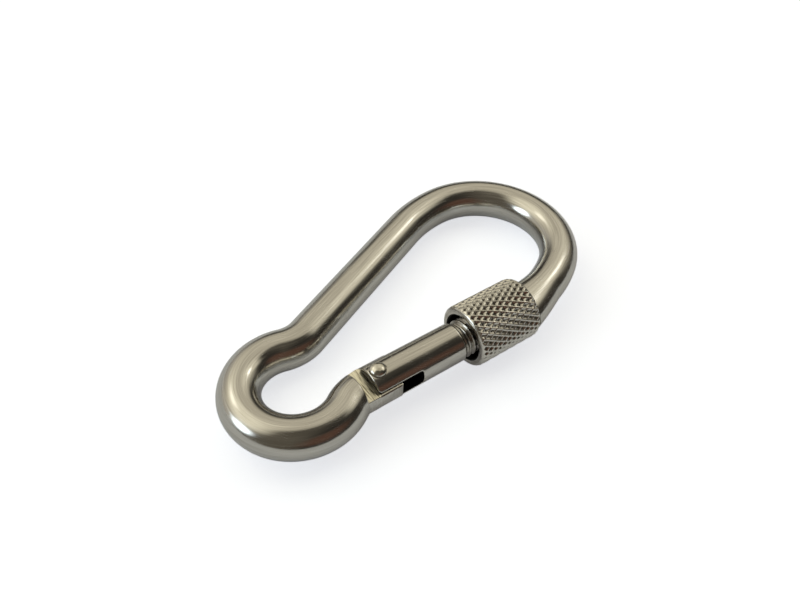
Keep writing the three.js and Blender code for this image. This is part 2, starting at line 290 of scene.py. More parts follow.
def face_outward(piece: Piece) -> None:
    """Turns a closed mesh's faces so that they all point out.

    Args:
        piece: the solid.
    """
    mesh = piece.data
    volume = 0.0
    for polygon in mesh.polygons:
        volume += polygon.center.dot(polygon.normal) * polygon.area
    if volume < 0:
        mesh.flip_normals()


def combine(piece: Piece, tool: Piece, operation: str) -> None:
    """Joins or cuts a piece with another solid, which is used up.

    Args:
        piece: the solid that is changed.
        tool: the solid that joins or cuts it.
        operation: UNION, DIFFERENCE or INTERSECT.
    """
    face_outward(tool)
    modifier = piece.modifiers.new("combine", "BOOLEAN")
    modifier.object = tool
    modifier.operation = operation
    modifier.solver = "EXACT"
    depsgraph = bpy.context.evaluated_depsgraph_get()
    mesh = bpy.data.meshes.new_from_object(piece.evaluated_get(depsgraph))
    piece.modifiers.clear()
    old = piece.data
    piece.data = mesh
    bpy.data.meshes.remove(old)
    bpy.data.objects.remove(tool)


def smooth(piece: Piece, degrees: float = 30.0) -> None:
    """Shades a piece smooth, with edges sharper than an angle left crisp.

    Args:
        piece: the mesh object.
        degrees: the angle above which an edge stays crisp.
    """
    mesh = piece.data
    mesh.polygons.foreach_set("use_smooth", [True] * len(mesh.polygons))
    mesh.set_sharp_from_angle(angle=math.radians(degrees))


def dress(
    piece: Piece,
    materials: list[bpy.types.Material],
    body: Body,
    node: str,
) -> Piece:
    """Gives a piece its materials, its body and the CAD node that it stands for.

    Args:
        piece: the finished mesh object.
        materials: its materials, in the order of its material slots.
        body: the body it rides on.
        node: the CAD node it replaces.

    Returns:
        The same piece.
    """
    for material in materials:
        piece.data.materials.append(material)
    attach(piece, body.value)
    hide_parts(node)
    LOG.info("%s: %d faces, rides on %s", piece.name, len(piece.data.polygons), body.value)
    return piece


# ------------------------------------------------------------------------------------- finishes


class NodeSheet:
    """Short ways to add and join the nodes of a material or of the room.

    PATCHES is how many scratched patches lie in a metre, SCRATCHED and PITTED are the ranges of
    a random value over which marks come in, and HAIR is the half width of a hairline.
    """

    PATCHES = 260.0
    SCRATCHED = (0.56, 0.62)
    PITTED = (0.9, 0.92)
    HAIR = 0.012

    def __init__(self, tree: bpy.types.NodeTree) -> None:
        """Starts from a node tree.

        Args:
            tree: the tree that nodes are added to.
        """
        self.tree = tree

    def add(self, kind: str, **settings: object) -> bpy.types.Node:
        """Adds a node and sets its properties.

        Args:
            kind: the node's type.
            settings: its properties by name.

        Returns:
            The node.
        """
        node = self.tree.nodes.new(kind)
        for key, value in settings.items():
            setattr(node, key, value)
        return node

    def join(self, source: Socket, target: Socket) -> None:
        """Links two sockets.

        Args:
            source: an output.
            target: the input that it feeds.
        """
        self.tree.links.new(source, target)

    def stretched(
        self, scale: tuple[float, float, float], use_uv: bool, turn: float = 0.0
    ) -> Socket:
        """Coordinates scaled along each axis.

        Args:
            scale: the scale on each axis, in cells per metre.
            use_uv: True for distances along and round the piece, False for its own space.
            turn: the angle about Z, in radians, of the axes that are scaled.

        Returns:
            The socket that gives them.
        """
        place = self.add("ShaderNodeTexCoord")
        mapping = self.add("ShaderNodeMapping")
        mapping.inputs["Scale"].default_value = scale
        source = place.outputs["UV" if use_uv else "Object"]
        if turn:
            turned = self.add("ShaderNodeMapping", vector_type="TEXTURE")
            turned.inputs["Rotation"].default_value = (0.0, 0.0, turn)
            self.join(source, turned.inputs["Vector"])
            source = turned.outputs["Vector"]
        self.join(source, mapping.inputs["Vector"])
        return mapping.outputs["Vector"]

    def noise(self, vector: Socket, detail: float = 3.0) -> Socket:
        """A noise value at those coordinates, from 0 to 1.

        Args:
            vector: where the noise is read.
            detail: how many finer layers it has.

        Returns:
            The value's socket.
        """
        texture = self.add("ShaderNodeTexNoise")
        texture.inputs["Scale"].default_value = 1.0
        texture.inputs["Detail"].default_value = detail
        self.join(vector, texture.inputs["Vector"])
        return texture.outputs["Fac"]

    def voronoi(self, scale: float, feature: str) -> bpy.types.Node:
        """A cell pattern in the piece's own space.

        Args:
            scale: how many cells lie in a metre.
            feature: which distance is measured.

        Returns:
            The texture node.
        """
        texture = self.add("ShaderNodeTexVoronoi", feature=feature)
        texture.inputs["Scale"].default_value = 1.0
        self.join(self.stretched((scale,) * 3, False), texture.inputs["Vector"])
        return texture

    def scratches(self, length: float, spacing: float, turn: float) -> Socket:
        """Long hairlines, 1 on a line.

        Args:
            length: how long a line is, in metres.
            spacing: how far apart lines are, in metres.
            turn: their angle to the piece's length, in radians.

        Returns:
            The socket that gives them.
        """
        streaks = self.noise(self.stretched((1 / length, 1 / spacing, 1.0), True, turn), 0.0)
        off_line = self.math("ABSOLUTE", self.math("SUBTRACT", streaks, 0.5), 0.0)
        where = self.noise(self.stretched((self.PATCHES,) * 3, False), 1.0)
        shown = self.remap(where, self.SCRATCHED, WHOLE)
        lines = self.remap(off_line, (0.0, self.HAIR), (1.0, 0.0))
        return self.math("MULTIPLY", lines, shown)

    def pits(self, scale: float, size: float) -> Socket:
        """Scattered pinholes, 1 in the middle of each.

        Args:
            scale: how many cells there are in a metre.
            size: how wide a pinhole is, as a part of a cell.

        Returns:
            The socket that gives them.
        """
        cells = self.voronoi(scale, "F1")
        dot = self.remap(cells.outputs["Distance"], (0.0, size), (1.0, 0.0))
        pick = self.add("ShaderNodeSeparateColor")
        self.join(cells.outputs["Color"], pick.inputs["Color"])
        return self.math("MULTIPLY", dot, self.remap(pick.outputs[0], self.PITTED, WHOLE))

    def remap(
        self, value: Socket, source: tuple[float, float], target: tuple[float, float]
    ) -> Socket:
        """A value moved from one range to another, and held within it.

        Args:
            value: the value.
            source: the range that it comes from.
            target: the range that it goes to.

        Returns:
            The new value's socket.
        """
        node = self.add("ShaderNodeMapRange")
        node.inputs["From Min"].default_value, node.inputs["From Max"].default_value = source
        node.inputs["To Min"].default_value, node.inputs["To Max"].default_value = target
        self.join(value, node.inputs["Value"])
        return node.outputs["Result"]

    def math(
        self, operation: str, one: Socket, two: Socket | float
    ) -> Socket:
        """One step of arithmetic on two values.

        Args:
            operation: the sum to do.
            one: the first value.
            two: the second value, from a socket or fixed.

        Returns:
            The result's socket.
        """
        node = self.add("ShaderNodeMath", operation=operation)
        self.join(one, node.inputs[0])
        if isinstance(two, bpy.types.NodeSocket):
            self.join(two, node.inputs[1])
        else:
            node.inputs[1].default_value = two
        return node.outputs["Value"]

    def mixer(self, amount: Socket) -> tuple[list[Socket], Socket]:
        """A colour mix node driven by an amount.

        Args:
            amount: 0 for the first colour and 1 for the second.

        Returns:
            The sockets of the two colours, and the socket of the result.
        """
        node = self.add("ShaderNodeMix", data_type="RGBA")
        factor = next(s for s in node.inputs if s.name == "Factor" and s.type == "VALUE")
        self.join(amount, factor)
        colors = [socket for socket in node.inputs if socket.type == "RGBA"]
        return colors, next(socket for socket in node.outputs if socket.type == "RGBA")

    def blend(
        self,
        amount: Socket,
        dark: Color,
        light: Color,
    ) -> Socket:
        """A colour between two, by an amount from 0 to 1.

        Args:
            amount: 0 for the dark colour and 1 for the light one.
            dark: the first colour.
            light: the second colour.

        Returns:
            The colour's socket.
        """
        colors, result = self.mixer(amount)
        colors[0].default_value, colors[1].default_value = (*dark, 1.0), (*light, 1.0)
        return result

    def cover(
        self,
        amount: Socket,
        under: Socket,
        over: Color,
    ) -> Socket:
        """A colour laid over what is there, by an amount from 0 to 1.

        Args:
            amount: 0 for what is there and 1 for the new colour.
            under: the colour that is there.
            over: the new colour.

        Returns:
            The colour's socket.
        """
        colors, result = self.mixer(amount)
        self.join(under, colors[0])
        colors[1].default_value = (*over, 1.0)
        return result


class SteelSheet(NodeSheet):
    """The nodes of one metal finish round a principled shader."""

    def __init__(self, name: str) -> None:
        """Starts a fully metallic material.

        Args:
            name: the material's name.
        """
        self.material = bpy.data.materials.new(name)
        self.material.use_nodes = True
        super().__init__(self.material.node_tree)
        self.shader = self.tree.nodes["Principled BSDF"]
        self.shader.inputs["Metallic"].default_value = 1.0

    def color(self, source: Socket) -> None:
        """Sets the metal's colour.

        Args:
            source: the colour's socket.
        """
        self.join(source, self.shader.inputs["Base Color"])

    def roughness(self, source: Socket) -> None:
        """Sets how blurred its reflections are.

        Args:
            source: the roughness's socket.
        """
        self.join(source, self.shader.inputs["Roughness"])

    def bump(self, height: Socket, distance: float, strength: float = 1.0) -> None:
        """Adds relief to the shader.

        Args:
            height: the relief, from 0 to 1.
            distance: how deep it is, in metres.
            strength: how much of it shows.
        """
        node = self.add("ShaderNodeBump")
        node.inputs["Distance"].default_value = distance
        node.inputs["Strength"].default_value = strength
        self.join(height, node.inputs["Height"])
        self.join(node.outputs["Normal"], self.shader.inputs["Normal"])


@dataclass(frozen=True)
class PolishedSteel:
    """Bar stock polished along its length: bright, with fine lines, haze, scratches and pits."""

    name: str = "polished_steel"
    bright: Color = (0.73, 0.715, 0.675)
    dull: Color = (0.50, 0.485, 0.445)
    roughness: tuple[float, float] = (0.12, 0.3)
    line_spacing: float = 0.00011
    line_length: float = 0.009
    line_depth: float = 0.0000012
    line_detail: float = 4.0
    line_share: float = 0.4
    streak_spacing: float = 0.0004
    streak_length: float = 0.012
    streak_relief: float = 3.0
    streak_detail: float = 2.0
    streak_tones: tuple[float, float] = (0.32, 0.68)
    haze_tones: tuple[float, float] = (0.35, 0.7)
    patch_scale: float = 130.0
    patch_least: float = 0.3
    haze_least: float = 0.2
    scratch_length: float = 0.012
    scratch_spacing: float = 0.0008
    scratch_turn: float = 0.35
    pit_scale: float = 900.0
    pit_size: float = 0.14
    mark_share: float = 0.8

    def material(self) -> bpy.types.Material:
        """Builds the finish.

        Returns:
            The material.
        """
        sheet = SteelSheet(self.name)
        fine = (1 / self.line_length, 1 / self.line_spacing, 1.0)
        lines = sheet.noise(sheet.stretched(fine, True), self.line_detail)
        broad = (1 / self.streak_length, 1 / self.streak_spacing, 1.0)
        haze = sheet.noise(sheet.stretched(broad, True), self.streak_detail)
        patches = sheet.noise(sheet.stretched((self.patch_scale,) * 3, False), self.streak_detail)
        fine_tone = sheet.remap(lines, COMMON, (0.0, self.line_share))
        broad_tone = sheet.remap(haze, self.streak_tones, (0.0, 1 - self.line_share))
        tone = sheet.math("ADD", fine_tone, broad_tone)
        sheet.color(sheet.blend(tone, self.dull, self.bright))
        hazed = sheet.remap(haze, self.haze_tones, (self.haze_least, 1.0))
        patched = sheet.remap(patches, COMMON, (self.patch_least, 1.0))
        mist = sheet.math("MULTIPLY", hazed, patched)
        scratches = sheet.scratches(self.scratch_length, self.scratch_spacing, self.scratch_turn)
        pits = sheet.pits(self.pit_scale, self.pit_size)
        marks = sheet.math("MAXIMUM", scratches, pits)
        rough = sheet.math("ADD", mist, sheet.math("MULTIPLY", marks, self.mark_share))
        sheet.roughness(sheet.remap(rough, WHOLE, self.roughness))
        relief = sheet.math("ADD", lines, sheet.math("MULTIPLY", haze, self.streak_relief))
        sheet.bump(sheet.math("SUBTRACT", relief, marks), self.line_depth)
        return sheet.material


@dataclass(frozen=True)
class MilledSteel:
    """Flats left by a cutter: a fine straight grain, warmer and duller than the polish."""

    name: str = "milled_steel"
    bright: Color = (1.0, 0.96, 0.78)
    dull: Color = (0.30, 0.275, 0.20)
    roughness: tuple[float, float] = (0.22, 0.42)
    grain: tuple[float, float, float] = (2600.0, 190.0, 900.0)
    grain_turn: float = math.radians(-12)
    depth: float = 0.00003
    detail: float = 5.0
    tones: tuple[float, float] = (0.38, 0.56)

    def material(self) -> bpy.types.Material:
        """Builds the finish.

        Returns:
            The material.
        """
        sheet = SteelSheet(self.name)
        grain = sheet.noise(sheet.stretched(self.grain, False, self.grain_turn), self.detail)
        sheet.color(sheet.blend(sheet.remap(grain, self.tones, WHOLE), self.dull, self.bright))
        sheet.roughness(sheet.remap(grain, COMMON, self.roughness))
        sheet.bump(grain, self.depth)
        return sheet.material


@dataclass(frozen=True)
class PaintedShadeSteel:
    """Painted shade: near-black steel that stands in for the shade inside bores, slots and the pocket,
    and on parts hidden in the gate.
    """

    name: str = "painted_shade_steel"
    # Two near-black tones of painted shade, mixed by a noise.
    lighter_shade: Color = (0.032, 0.032, 0.033)
    deeper_shade: Color = (0.008, 0.008, 0.008)
    roughness: tuple[float, float] = (0.35, 0.6)
    mottle_scale: float = 700.0
    depth: float = 0.00001
    detail: float = 4.0
    tones: tuple[float, float] = (0.35, 0.7)

    def material(self) -> bpy.types.Material:
        """Builds the finish.

        Returns:
            The material.
        """
        sheet = SteelSheet(self.name)
        # The colour is painted shade, darker in patches of the noise.
        mottle = sheet.noise(sheet.stretched((self.mottle_scale,) * 3, False), self.detail)
        sheet.color(sheet.blend(sheet.remap(mottle, self.tones, WHOLE), self.deeper_shade, self.lighter_shade))
        sheet.roughness(sheet.remap(mottle, COMMON, self.roughness))
        sheet.bump(mottle, self.depth)
        return sheet.material


@dataclass(frozen=True)
class KnurledSteel:
    """A rolled diamond pattern: bright crossing ridges round pits darkened with painted shade."""

    name: str = "knurled_steel"
    ridge: Color = (0.74, 0.72, 0.665)
    # Painted shade: the colour that the pits take, darker where the knurl is low.
    pit_shade: Color = (0.10, 0.098, 0.085)
    roughness: tuple[float, float] = (0.14, 0.3)
    grain_scale: float = 3000.0
    wear: float = 0.18
    depth: float = 0.000015
    detail: float = 3.0
    tones: tuple[float, float] = (0.0, 0.65)

    def material(self) -> bpy.types.Material:
        """Builds the finish, which reads the height left by the knurl and paints shade into its pits.

        Returns:
            The material.
        """
        sheet = SteelSheet(self.name)
        height = sheet.add("ShaderNodeAttribute", attribute_name="knurl_height").outputs["Fac"]
        grain = sheet.noise(sheet.stretched((self.grain_scale,) * 3, False), self.detail)
        shade_and_wear = sheet.math("ADD", height, sheet.remap(grain, COMMON, (-self.wear, self.wear)))
        # The knurl's height, jittered by grain, paints shade into the pits.
        sheet.color(sheet.blend(sheet.remap(shade_and_wear, self.tones, WHOLE), self.pit_shade, self.ridge))
        sheet.roughness(sheet.remap(grain, COMMON, self.roughness))
        sheet.bump(grain, self.depth)
        return sheet.material


@dataclass(frozen=True)
class TurnedSteel:
    """Faces left by a lathe tool: fine rings about the gate's axis."""

    name: str = "turned_steel"
    bright: Color = (0.66, 0.635, 0.58)
    dull: Color = (0.42, 0.40, 0.36)
    roughness: tuple[float, float] = (0.16, 0.34)
    ring_scale: tuple[float, float, float] = (9000.0, 260.0, 1.0)
    depth: float = 0.000005
    detail: float = 3.0
    tones: tuple[float, float] = (0.3, 0.68)

    def material(self) -> bpy.types.Material:
        """Builds the finish.

        Returns:
            The material.
        """
        sheet = SteelSheet(self.name)
        rings = sheet.noise(sheet.stretched(self.ring_scale, True), self.detail)
        sheet.color(sheet.blend(sheet.remap(rings, self.tones, WHOLE), self.dull, self.bright))
        sheet.roughness(sheet.remap(rings, COMMON, self.roughness))
        sheet.bump(rings, self.depth)
        return sheet.material


@dataclass(frozen=True)
class PeenedSteel:
    """A rivet head closed with a hammer: shiny, with shallow dents."""

    name: str = "peened_steel"
    bright: Color = (0.80, 0.78, 0.71)
    dull: Color = (0.55, 0.53, 0.46)
    roughness: tuple[float, float] = (0.1, 0.24)
    dent_scale: float = 800.0
    depth: float = 0.00011
    detail: float = 1.5
    tones: tuple[float, float] = (0.35, 0.6)

    def material(self) -> bpy.types.Material:
        """Builds the finish.

        Returns:
            The material.
        """
        sheet = SteelSheet(self.name)
        dents = sheet.noise(sheet.stretched((self.dent_scale,) * 3, False), self.detail)
        sheet.color(sheet.blend(sheet.remap(dents, self.tones, WHOLE), self.dull, self.bright))
        sheet.roughness(sheet.remap(dents, COMMON, self.roughness))
        sheet.bump(dents, self.depth)
        return sheet.material


@dataclass
class Finishes:
    """Every finish on the hook, made once."""

    polished: bpy.types.Material = field(default_factory=lambda: PolishedSteel().material())
    milled: bpy.types.Material = field(default_factory=lambda: MilledSteel().material())
    # This finish is painted shade: near-black metal for recesses and hidden parts.
    painted_shade: bpy.types.Material = field(default_factory=lambda: PaintedShadeSteel().material())
    knurled: bpy.types.Material = field(default_factory=lambda: KnurledSteel().material())
    turned: bpy.types.Material = field(default_factory=lambda: TurnedSteel().material())
    peened: bpy.types.Material = field(default_factory=lambda: PeenedSteel().material())


# ------------------------------------------------------------------------------------ hook body


@dataclass(frozen=True)
class Bend:
    """One arc of the bar's centreline, in the gate's frame."""

    centre: tuple[float, float]
    radius: float
    start: float
    end: float

    def at(self, angle: float) -> np.ndarray:
        """The point of the arc at an angle.

        Args:
            angle: the angle about the arc's centre, in radians.

        Returns:
            The point, in the plane.
        """
        radial = np.array([math.cos(angle), math.sin(angle)])
        return np.array(self.centre) + self.radius * radial

    def outward(self, angle: float) -> np.ndarray:
        """The direction to the hook's outer side at an angle.

        Args:
            angle: the angle about the arc's centre, in radians.

        Returns:
            A unit direction, in the plane.
        """
        radial = np.array([math.cos(angle), math.sin(angle)])
        return radial if self.end < self.start else -radial

    def points(self, spacing: float) -> tuple[np.ndarray, np.ndarray]:
        """Samples the arc, without its last point.

        Args:
            spacing: the wanted distance between points.

        Returns:
            The points and the directions to the hook's outer side there, both in the plane.
        """
        steps = max(2, math.ceil(abs(self.end - self.start) * self.radius / spacing))
        angles = np.linspace(self.start, self.end, steps, endpoint=False)
        places = np.array([self.at(angle) for angle in angles])
        return places, np.array([self.outward(angle) for angle in angles])


@dataclass
class HookBody:
    """The bent bar, its tang and its nose, in the gate's frame and in millimetres."""

    bar_radius: float = BAR_RADIUS
    bow_spacing: float = 73.6
    big_bow: float = 21.7
    small_bow: float = 13.5
    gate_angle: float = math.radians(12)
    spine_angle: float = math.radians(12)
    gate_offset: float = 9.25
    spine_offset: float = 7.75
    hinge_setback: float = 17.7
    hinge_fillet: float = 11.0
    spine_fillet: float = 11.0
    shoulder: float = 40.0
    tang_thickness: float = 4.3
    tang_step: float = 6.0
    step_edge: float = 0.4
    tang_bulge: float = 0.3
    tang_edge: float = 0.3
    tang_lip: float = 0.09
    gate_radius: float = GATE_RADIUS
    gate_back: float = GATE_BACK
    tang_end: float = 4.2
    cam_radius: float = 6.0
    cam_offset: float = 2.2
    tang_root: float = 1.6
    tang_blend: float = 0.6
    tang_slope: float = 0.12
    tang_flat: float = 1.3
    tang_taper: tuple[float, float] = (0.2, 1.6)
    tang_toe: tuple[tuple[float, float], ...] = ((-0.8, 0.02), (-0.25, 0.18), (0.0, 0.6), (0.12, 1.4))
    opening: float = math.radians(33)
    pin_hole: float = PIN_HOLE
    nose_swing: float = GATE_SWING + NOSE_GAP
    nose_back: float = 5.0
    flare_depth: float = 2.3
    flare_length: float = 10.0
    flare_most: float = 1.4
    flare_power: float = 1.35
    flare_focus: float = 2.4
    inner_flare: float = 0.45
    pocket_back: float = 3.0
    pocket_reach: float = 6.0
    pocket_wall: float = 0.35
    sides: int = 96
    spacing: float = 0.5

    def bends(self) -> list[Bend]:
        """The centreline as tangent arcs, from the hinge round both bows to the nose.

        Returns:
            The six arcs, in order.
        """
        small = np.array([-self.hinge_setback, self.gate_offset])
        turn = self.gate_angle
        big = small + self.bow_spacing * np.array([math.cos(turn), math.sin(turn)])
        heading = self.gate_angle + self.spine_angle
        along = np.array([math.cos(heading), math.sin(heading)])
        outward = np.array([-along[1], along[0]])
        hinge_rise = self.gate_offset + self.hinge_fillet
        hinge_run = math.sqrt((self.small_bow + self.hinge_fillet) ** 2 - hinge_rise**2)
        hinge_turn = math.atan2(hinge_rise, -hinge_run)
        hinge_x = small[0] + hinge_run
        spine_rise = self.spine_offset + self.spine_fillet
        spine_run = math.sqrt((self.small_bow + self.spine_fillet) ** 2 - spine_rise**2)
        spine_turn = heading + math.atan2(spine_rise, spine_run)
        fillet = small + spine_run * along + spine_rise * outward
        reach = self.shoulder - self.big_bow
        spine_drop = self.shoulder - outward @ (small - big) - self.spine_offset
        spine_lead = math.sqrt(reach**2 - spine_drop**2)
        spine_shoulder = big - spine_lead * along - spine_drop * outward
        big_start = heading + math.atan2(spine_drop, spine_lead)
        gate_drop = self.shoulder - big[1]
        gate_lead = math.sqrt(reach**2 - gate_drop**2)
        big_end = -math.atan2(gate_drop, gate_lead)
        half = math.pi / 2
        return [
            Bend((hinge_x, -self.hinge_fillet), self.hinge_fillet, half, hinge_turn),
            Bend(tuple(small), self.small_bow, hinge_turn + math.pi, spine_turn),
            Bend(tuple(fillet), self.spine_fillet, spine_turn - math.pi, heading - half),
            Bend(tuple(spine_shoulder), self.shoulder, heading + half, big_start),
            Bend(tuple(big), self.big_bow, big_start, big_end),
            Bend((big[0] - gate_lead, self.shoulder), self.shoulder, big_end, -half),
        ]

    def centreline(self) -> tuple[np.ndarray, np.ndarray]:
        """Points along the whole bar, and the direction to its outer side at each.

        Returns:
            The points and the directions, in the plane.
        """
        places, outward = [], []
        bends = self.bends()
        for bend, after in zip(bends, bends[1:] + [None]):
            points, sideways = bend.points(self.spacing)
            places.append(points)
            outward.append(sideways)
            if after is None:
                continue
            start, end = bend.at(bend.end), after.at(after.start)
            steps = math.ceil(np.linalg.norm(end - start) / self.spacing)
            if steps > 1:
                part = np.linspace(0, 1, steps, endpoint=False)[:, None]
                places.append(start + (end - start) * part)
                outward.append(np.repeat(after.outward(after.start)[None], steps, axis=0))
        return np.concatenate(places), np.concatenate(outward)

    def skin_grid(self) -> np.ndarray:
        """The bar's surface as stations by sides by xyz, with the nose's swelling.

        Returns:
            The grid, in the gate's frame.
        """
        places, outward = self.centreline()
        angle = np.arange(self.sides) / self.sides * TAU
        from_nose = np.hypot(places[:, 0], places[:, 1]) - self.nose_swing
        on_nose = places[:, 0] > self.nose_swing - self.nose_back
        on_nose &= places[:, 1] < 2 * self.bar_radius
        part = np.clip(1 - from_nose / self.flare_length, 0, self.flare_most) * on_nose
        swell = self.flare_depth * part**self.flare_power
        facing = np.maximum(np.cos(angle), 0) ** self.flare_focus
        facing += self.inner_flare * np.maximum(-np.cos(angle), 0) ** self.flare_focus
        radius = self.bar_radius + swell[:, None] * facing[None]
        flat = radius * np.cos(angle)
        grid = np.empty((len(places), self.sides, 3))
        grid[..., :2] = places[:, None] + flat[..., None] * outward[:, None]
        grid[..., 2] = radius * np.sin(angle)
        return grid

    def past_swing(self, points: np.ndarray) -> np.ndarray:
        """How far points on the nose lie past the gate's swing, and 1 away from the nose.

        Args:
            points: places in the gate's frame.

        Returns:
            A value for each, below 0 inside the swing.
        """
        past = np.hypot(points[..., 0], points[..., 1]) - self.nose_swing
        return np.where(points[..., 1] < 2 * self.bar_radius, past, 1.0)

    def behind_step(self, points: np.ndarray) -> np.ndarray:
        """How far points lie behind the tang's step.

        Args:
            points: places in the gate's frame.

        Returns:
            A value for each, below 0 on the tang's side.
        """
        return -self.tang_step - points[..., 0]

    def bar(self, place: GateFrame) -> Piece:
        """The bar itself, cut square at the tang's step and round at the nose.

        Args:
            place: the gate's frame.

        Returns:
            The bar, closed at both ends.
        """
        grid = trimmed(self.skin_grid(), self.past_swing)
        grid = trimmed(grid[::-1], self.behind_step, near_end=40)[::-1]
        skin = RingSkin(self.sides)
        distance = self.step_edge
        for angle in np.linspace(0, math.pi / 2, 6):
            edge = moved_back(grid, self.step_edge * (1 - math.cos(angle)))
            skin.add(shrunk(edge, self.step_edge * (1 - math.sin(angle))), distance)
        for here, before in zip(grid[2:], grid[1:]):
            distance += float(np.linalg.norm(here.mean(0) - before.mean(0)))
            skin.add(here, distance)
        return skin.build("bent_bar", place)

    def tang_outline(self) -> np.ndarray:
        """The tang's side outline, whose inner end is the cam that drives the plunger.

        Returns:
            Its points in the plane, anticlockwise.
        """
        tube = self.gate_radius
        outer = -tube - self.tang_bulge
        root = -self.tang_step - self.tang_root
        points = [
            (root, -tube),
            (-self.tang_step - self.tang_blend, outer + self.tang_slope),
            (-self.tang_step + self.tang_blend, outer),
            (-self.tang_flat, outer),
            (self.tang_taper[0], outer + self.tang_slope),
            (self.tang_taper[1], -tube),
        ]
        points += [(self.tang_end + x, -tube + y) for x, y in self.tang_toe]
        points.append((self.cam_radius, -tube / 3))
        for turn in np.linspace(0, self.opening, 10):
            reach = self.cam_radius + self.cam_offset * turn
            x = reach * math.cos(turn) - self.cam_offset * math.sin(turn)
            y = reach * math.sin(turn) + self.cam_offset * math.cos(turn)
            points.append((x, y))
        points += [(-self.gate_back, tube), (root, self.gate_offset / 2)]
        return np.array(points)

    def tang(self, place: GateFrame) -> Piece:
        """The flat tang, rounded like the bar on its edges and bored for the rivet.

        Args:
            place: the gate's frame.

        Returns:
            The tang.
        """
        outline = resampled(self.tang_outline(), self.spacing / 2)
        half = self.tang_thickness / 2
        limit = self.gate_radius + self.tang_bulge
        beside_gate = np.clip((outline[:, 0] + self.gate_back) / self.tang_edge + 0.5, 0, 1)
        rings = []
        for z in half * np.sin(np.linspace(-math.pi / 2, math.pi / 2, 25)):
            near = max(0.0, abs(z) - half + self.tang_edge)
            fall = self.tang_edge - math.sqrt(self.tang_edge**2 - near**2)
            lip = self.tang_lip if abs(z) > half - self.tang_lip / 2 else 0.0
            edge = math.sqrt(limit**2 - z**2) - lip - fall * beside_gate
            flat = inset_outline(outline, lip)
            flat[:, 1] = np.clip(flat[:, 1], -edge, edge)
            rings.append(np.column_stack([flat, np.full(len(flat), z)]))
        tang = prism("tang", rings, place)
        face_outward(tang)
        bore = pillar("bore", self.pin_hole, -self.tang_thickness, self.tang_thickness, place)
        combine(tang, bore, "DIFFERENCE")
        return tang

    def pocket(self, place: GateFrame) -> Piece:
        """The T-shaped pocket that takes the gate's tongue, open on the inner side.

        Args:
            place: the gate's frame.

        Returns:
            The pocket's cutter.
        """
        tongue = Tongue()
        outline = tongue.outline(self.nose_swing - NOSE_GAP, tongue.clearance, self.pocket_back)
        low, high = -tongue.half_height - NOSE_GAP, 2 * self.bar_radius
        rings = [np.column_stack([outline[:, 0], np.full(len(outline), y), outline[:, 1]])
                 for y in (low, high)]
        return prism("pocket", rings, place)

    def build(self, place: GateFrame, finishes: Finishes) -> Piece:
        """Makes and dresses the hook body.

        Args:
            place: the gate's frame.
            finishes: the finishes to use.

        Returns:
            The finished piece.
        """
        piece = self.bar(place)
        face_outward(piece)
        combine(piece, self.tang(place), "UNION")
        combine(piece, self.pocket(place), "DIFFERENCE")
        smooth(piece, 28)
        self.paint(piece, place)
        # Slot 2 is painted shade: near-black metal for the pocket's insides.
        materials = [finishes.polished, finishes.milled, finishes.painted_shade]
        return dress(piece, materials, Body.HOOK, "hook_body")

    def paint(self, piece: Piece, place: GateFrame) -> None:
        """Puts the milled finish on the tang's flats and step, and painted shade, a near-black metal,
        in the pocket.

        Args:
            piece: the hook body.
            place: the gate's frame.
        """
        centres, normals = face_data(piece, place)
        x, y, z = centres.T
        half = self.tang_thickness / 2
        on_tang = (x > -self.tang_step - SLACK) & (x < self.cam_radius + self.cam_offset)
        on_tang &= np.abs(y) < 2 * self.bar_radius
        flat = on_tang & (np.abs(normals[:, 2]) > SQUARE) & (np.abs(z) > half - 2 * SLACK)
        flat &= (x < -self.gate_back) | (np.abs(y) < self.gate_radius - 1)
        step = on_tang & (normals[:, 0] > MOSTLY) & (x < -self.tang_step + SLACK)
        reach = np.hypot(x, y)
        on_nose = (x > self.nose_swing - self.flare_length) & (y < 2 * self.bar_radius)
        # Faces inside the pocket get painted shade (slot 2), near-black where shade falls.
        inside = on_nose & (reach < self.nose_swing + self.pocket_reach)
        inside &= np.hypot(y, z) < self.bar_radius - self.pocket_wall
        towards_hinge = -(normals[:, 0] * x + normals[:, 1] * y) / reach
        end = on_nose & (towards_hinge > MOSTLY) & (reach < self.nose_swing + 2 * SLACK)
        slots = np.zeros(len(centres), dtype=np.int32)
        slots[flat | step] = 1
        slots[inside] = 2
        slots[end] = 1
        piece.data.polygons.foreach_set("material_index", slots)


def face_data(piece: Piece, place: GateFrame) -> tuple[np.ndarray, np.ndarray]:
    """The centre, in the gate's frame, and the normal of each of a piece's faces.

    Args:
        piece: the mesh object.
        place: the gate's frame.

    Returns:
        The centres and the normals, one row a face.
    """
    count = len(piece.data.polygons)
    centres, normals = np.empty(count * 3), np.empty(count * 3)
    piece.data.polygons.foreach_get("center", centres)
    piece.data.polygons.foreach_get("normal", normals)
    along = np.array(place.along)
    axes = np.stack([along, np.array([-along[1], along[0], 0.0]), np.array([0.0, 0.0, 1.0])])
    centres = (centres.reshape(-1, 3) - np.array(place.pin)) @ axes.T / MM
    return centres, normals.reshape(-1, 3) @ axes.T


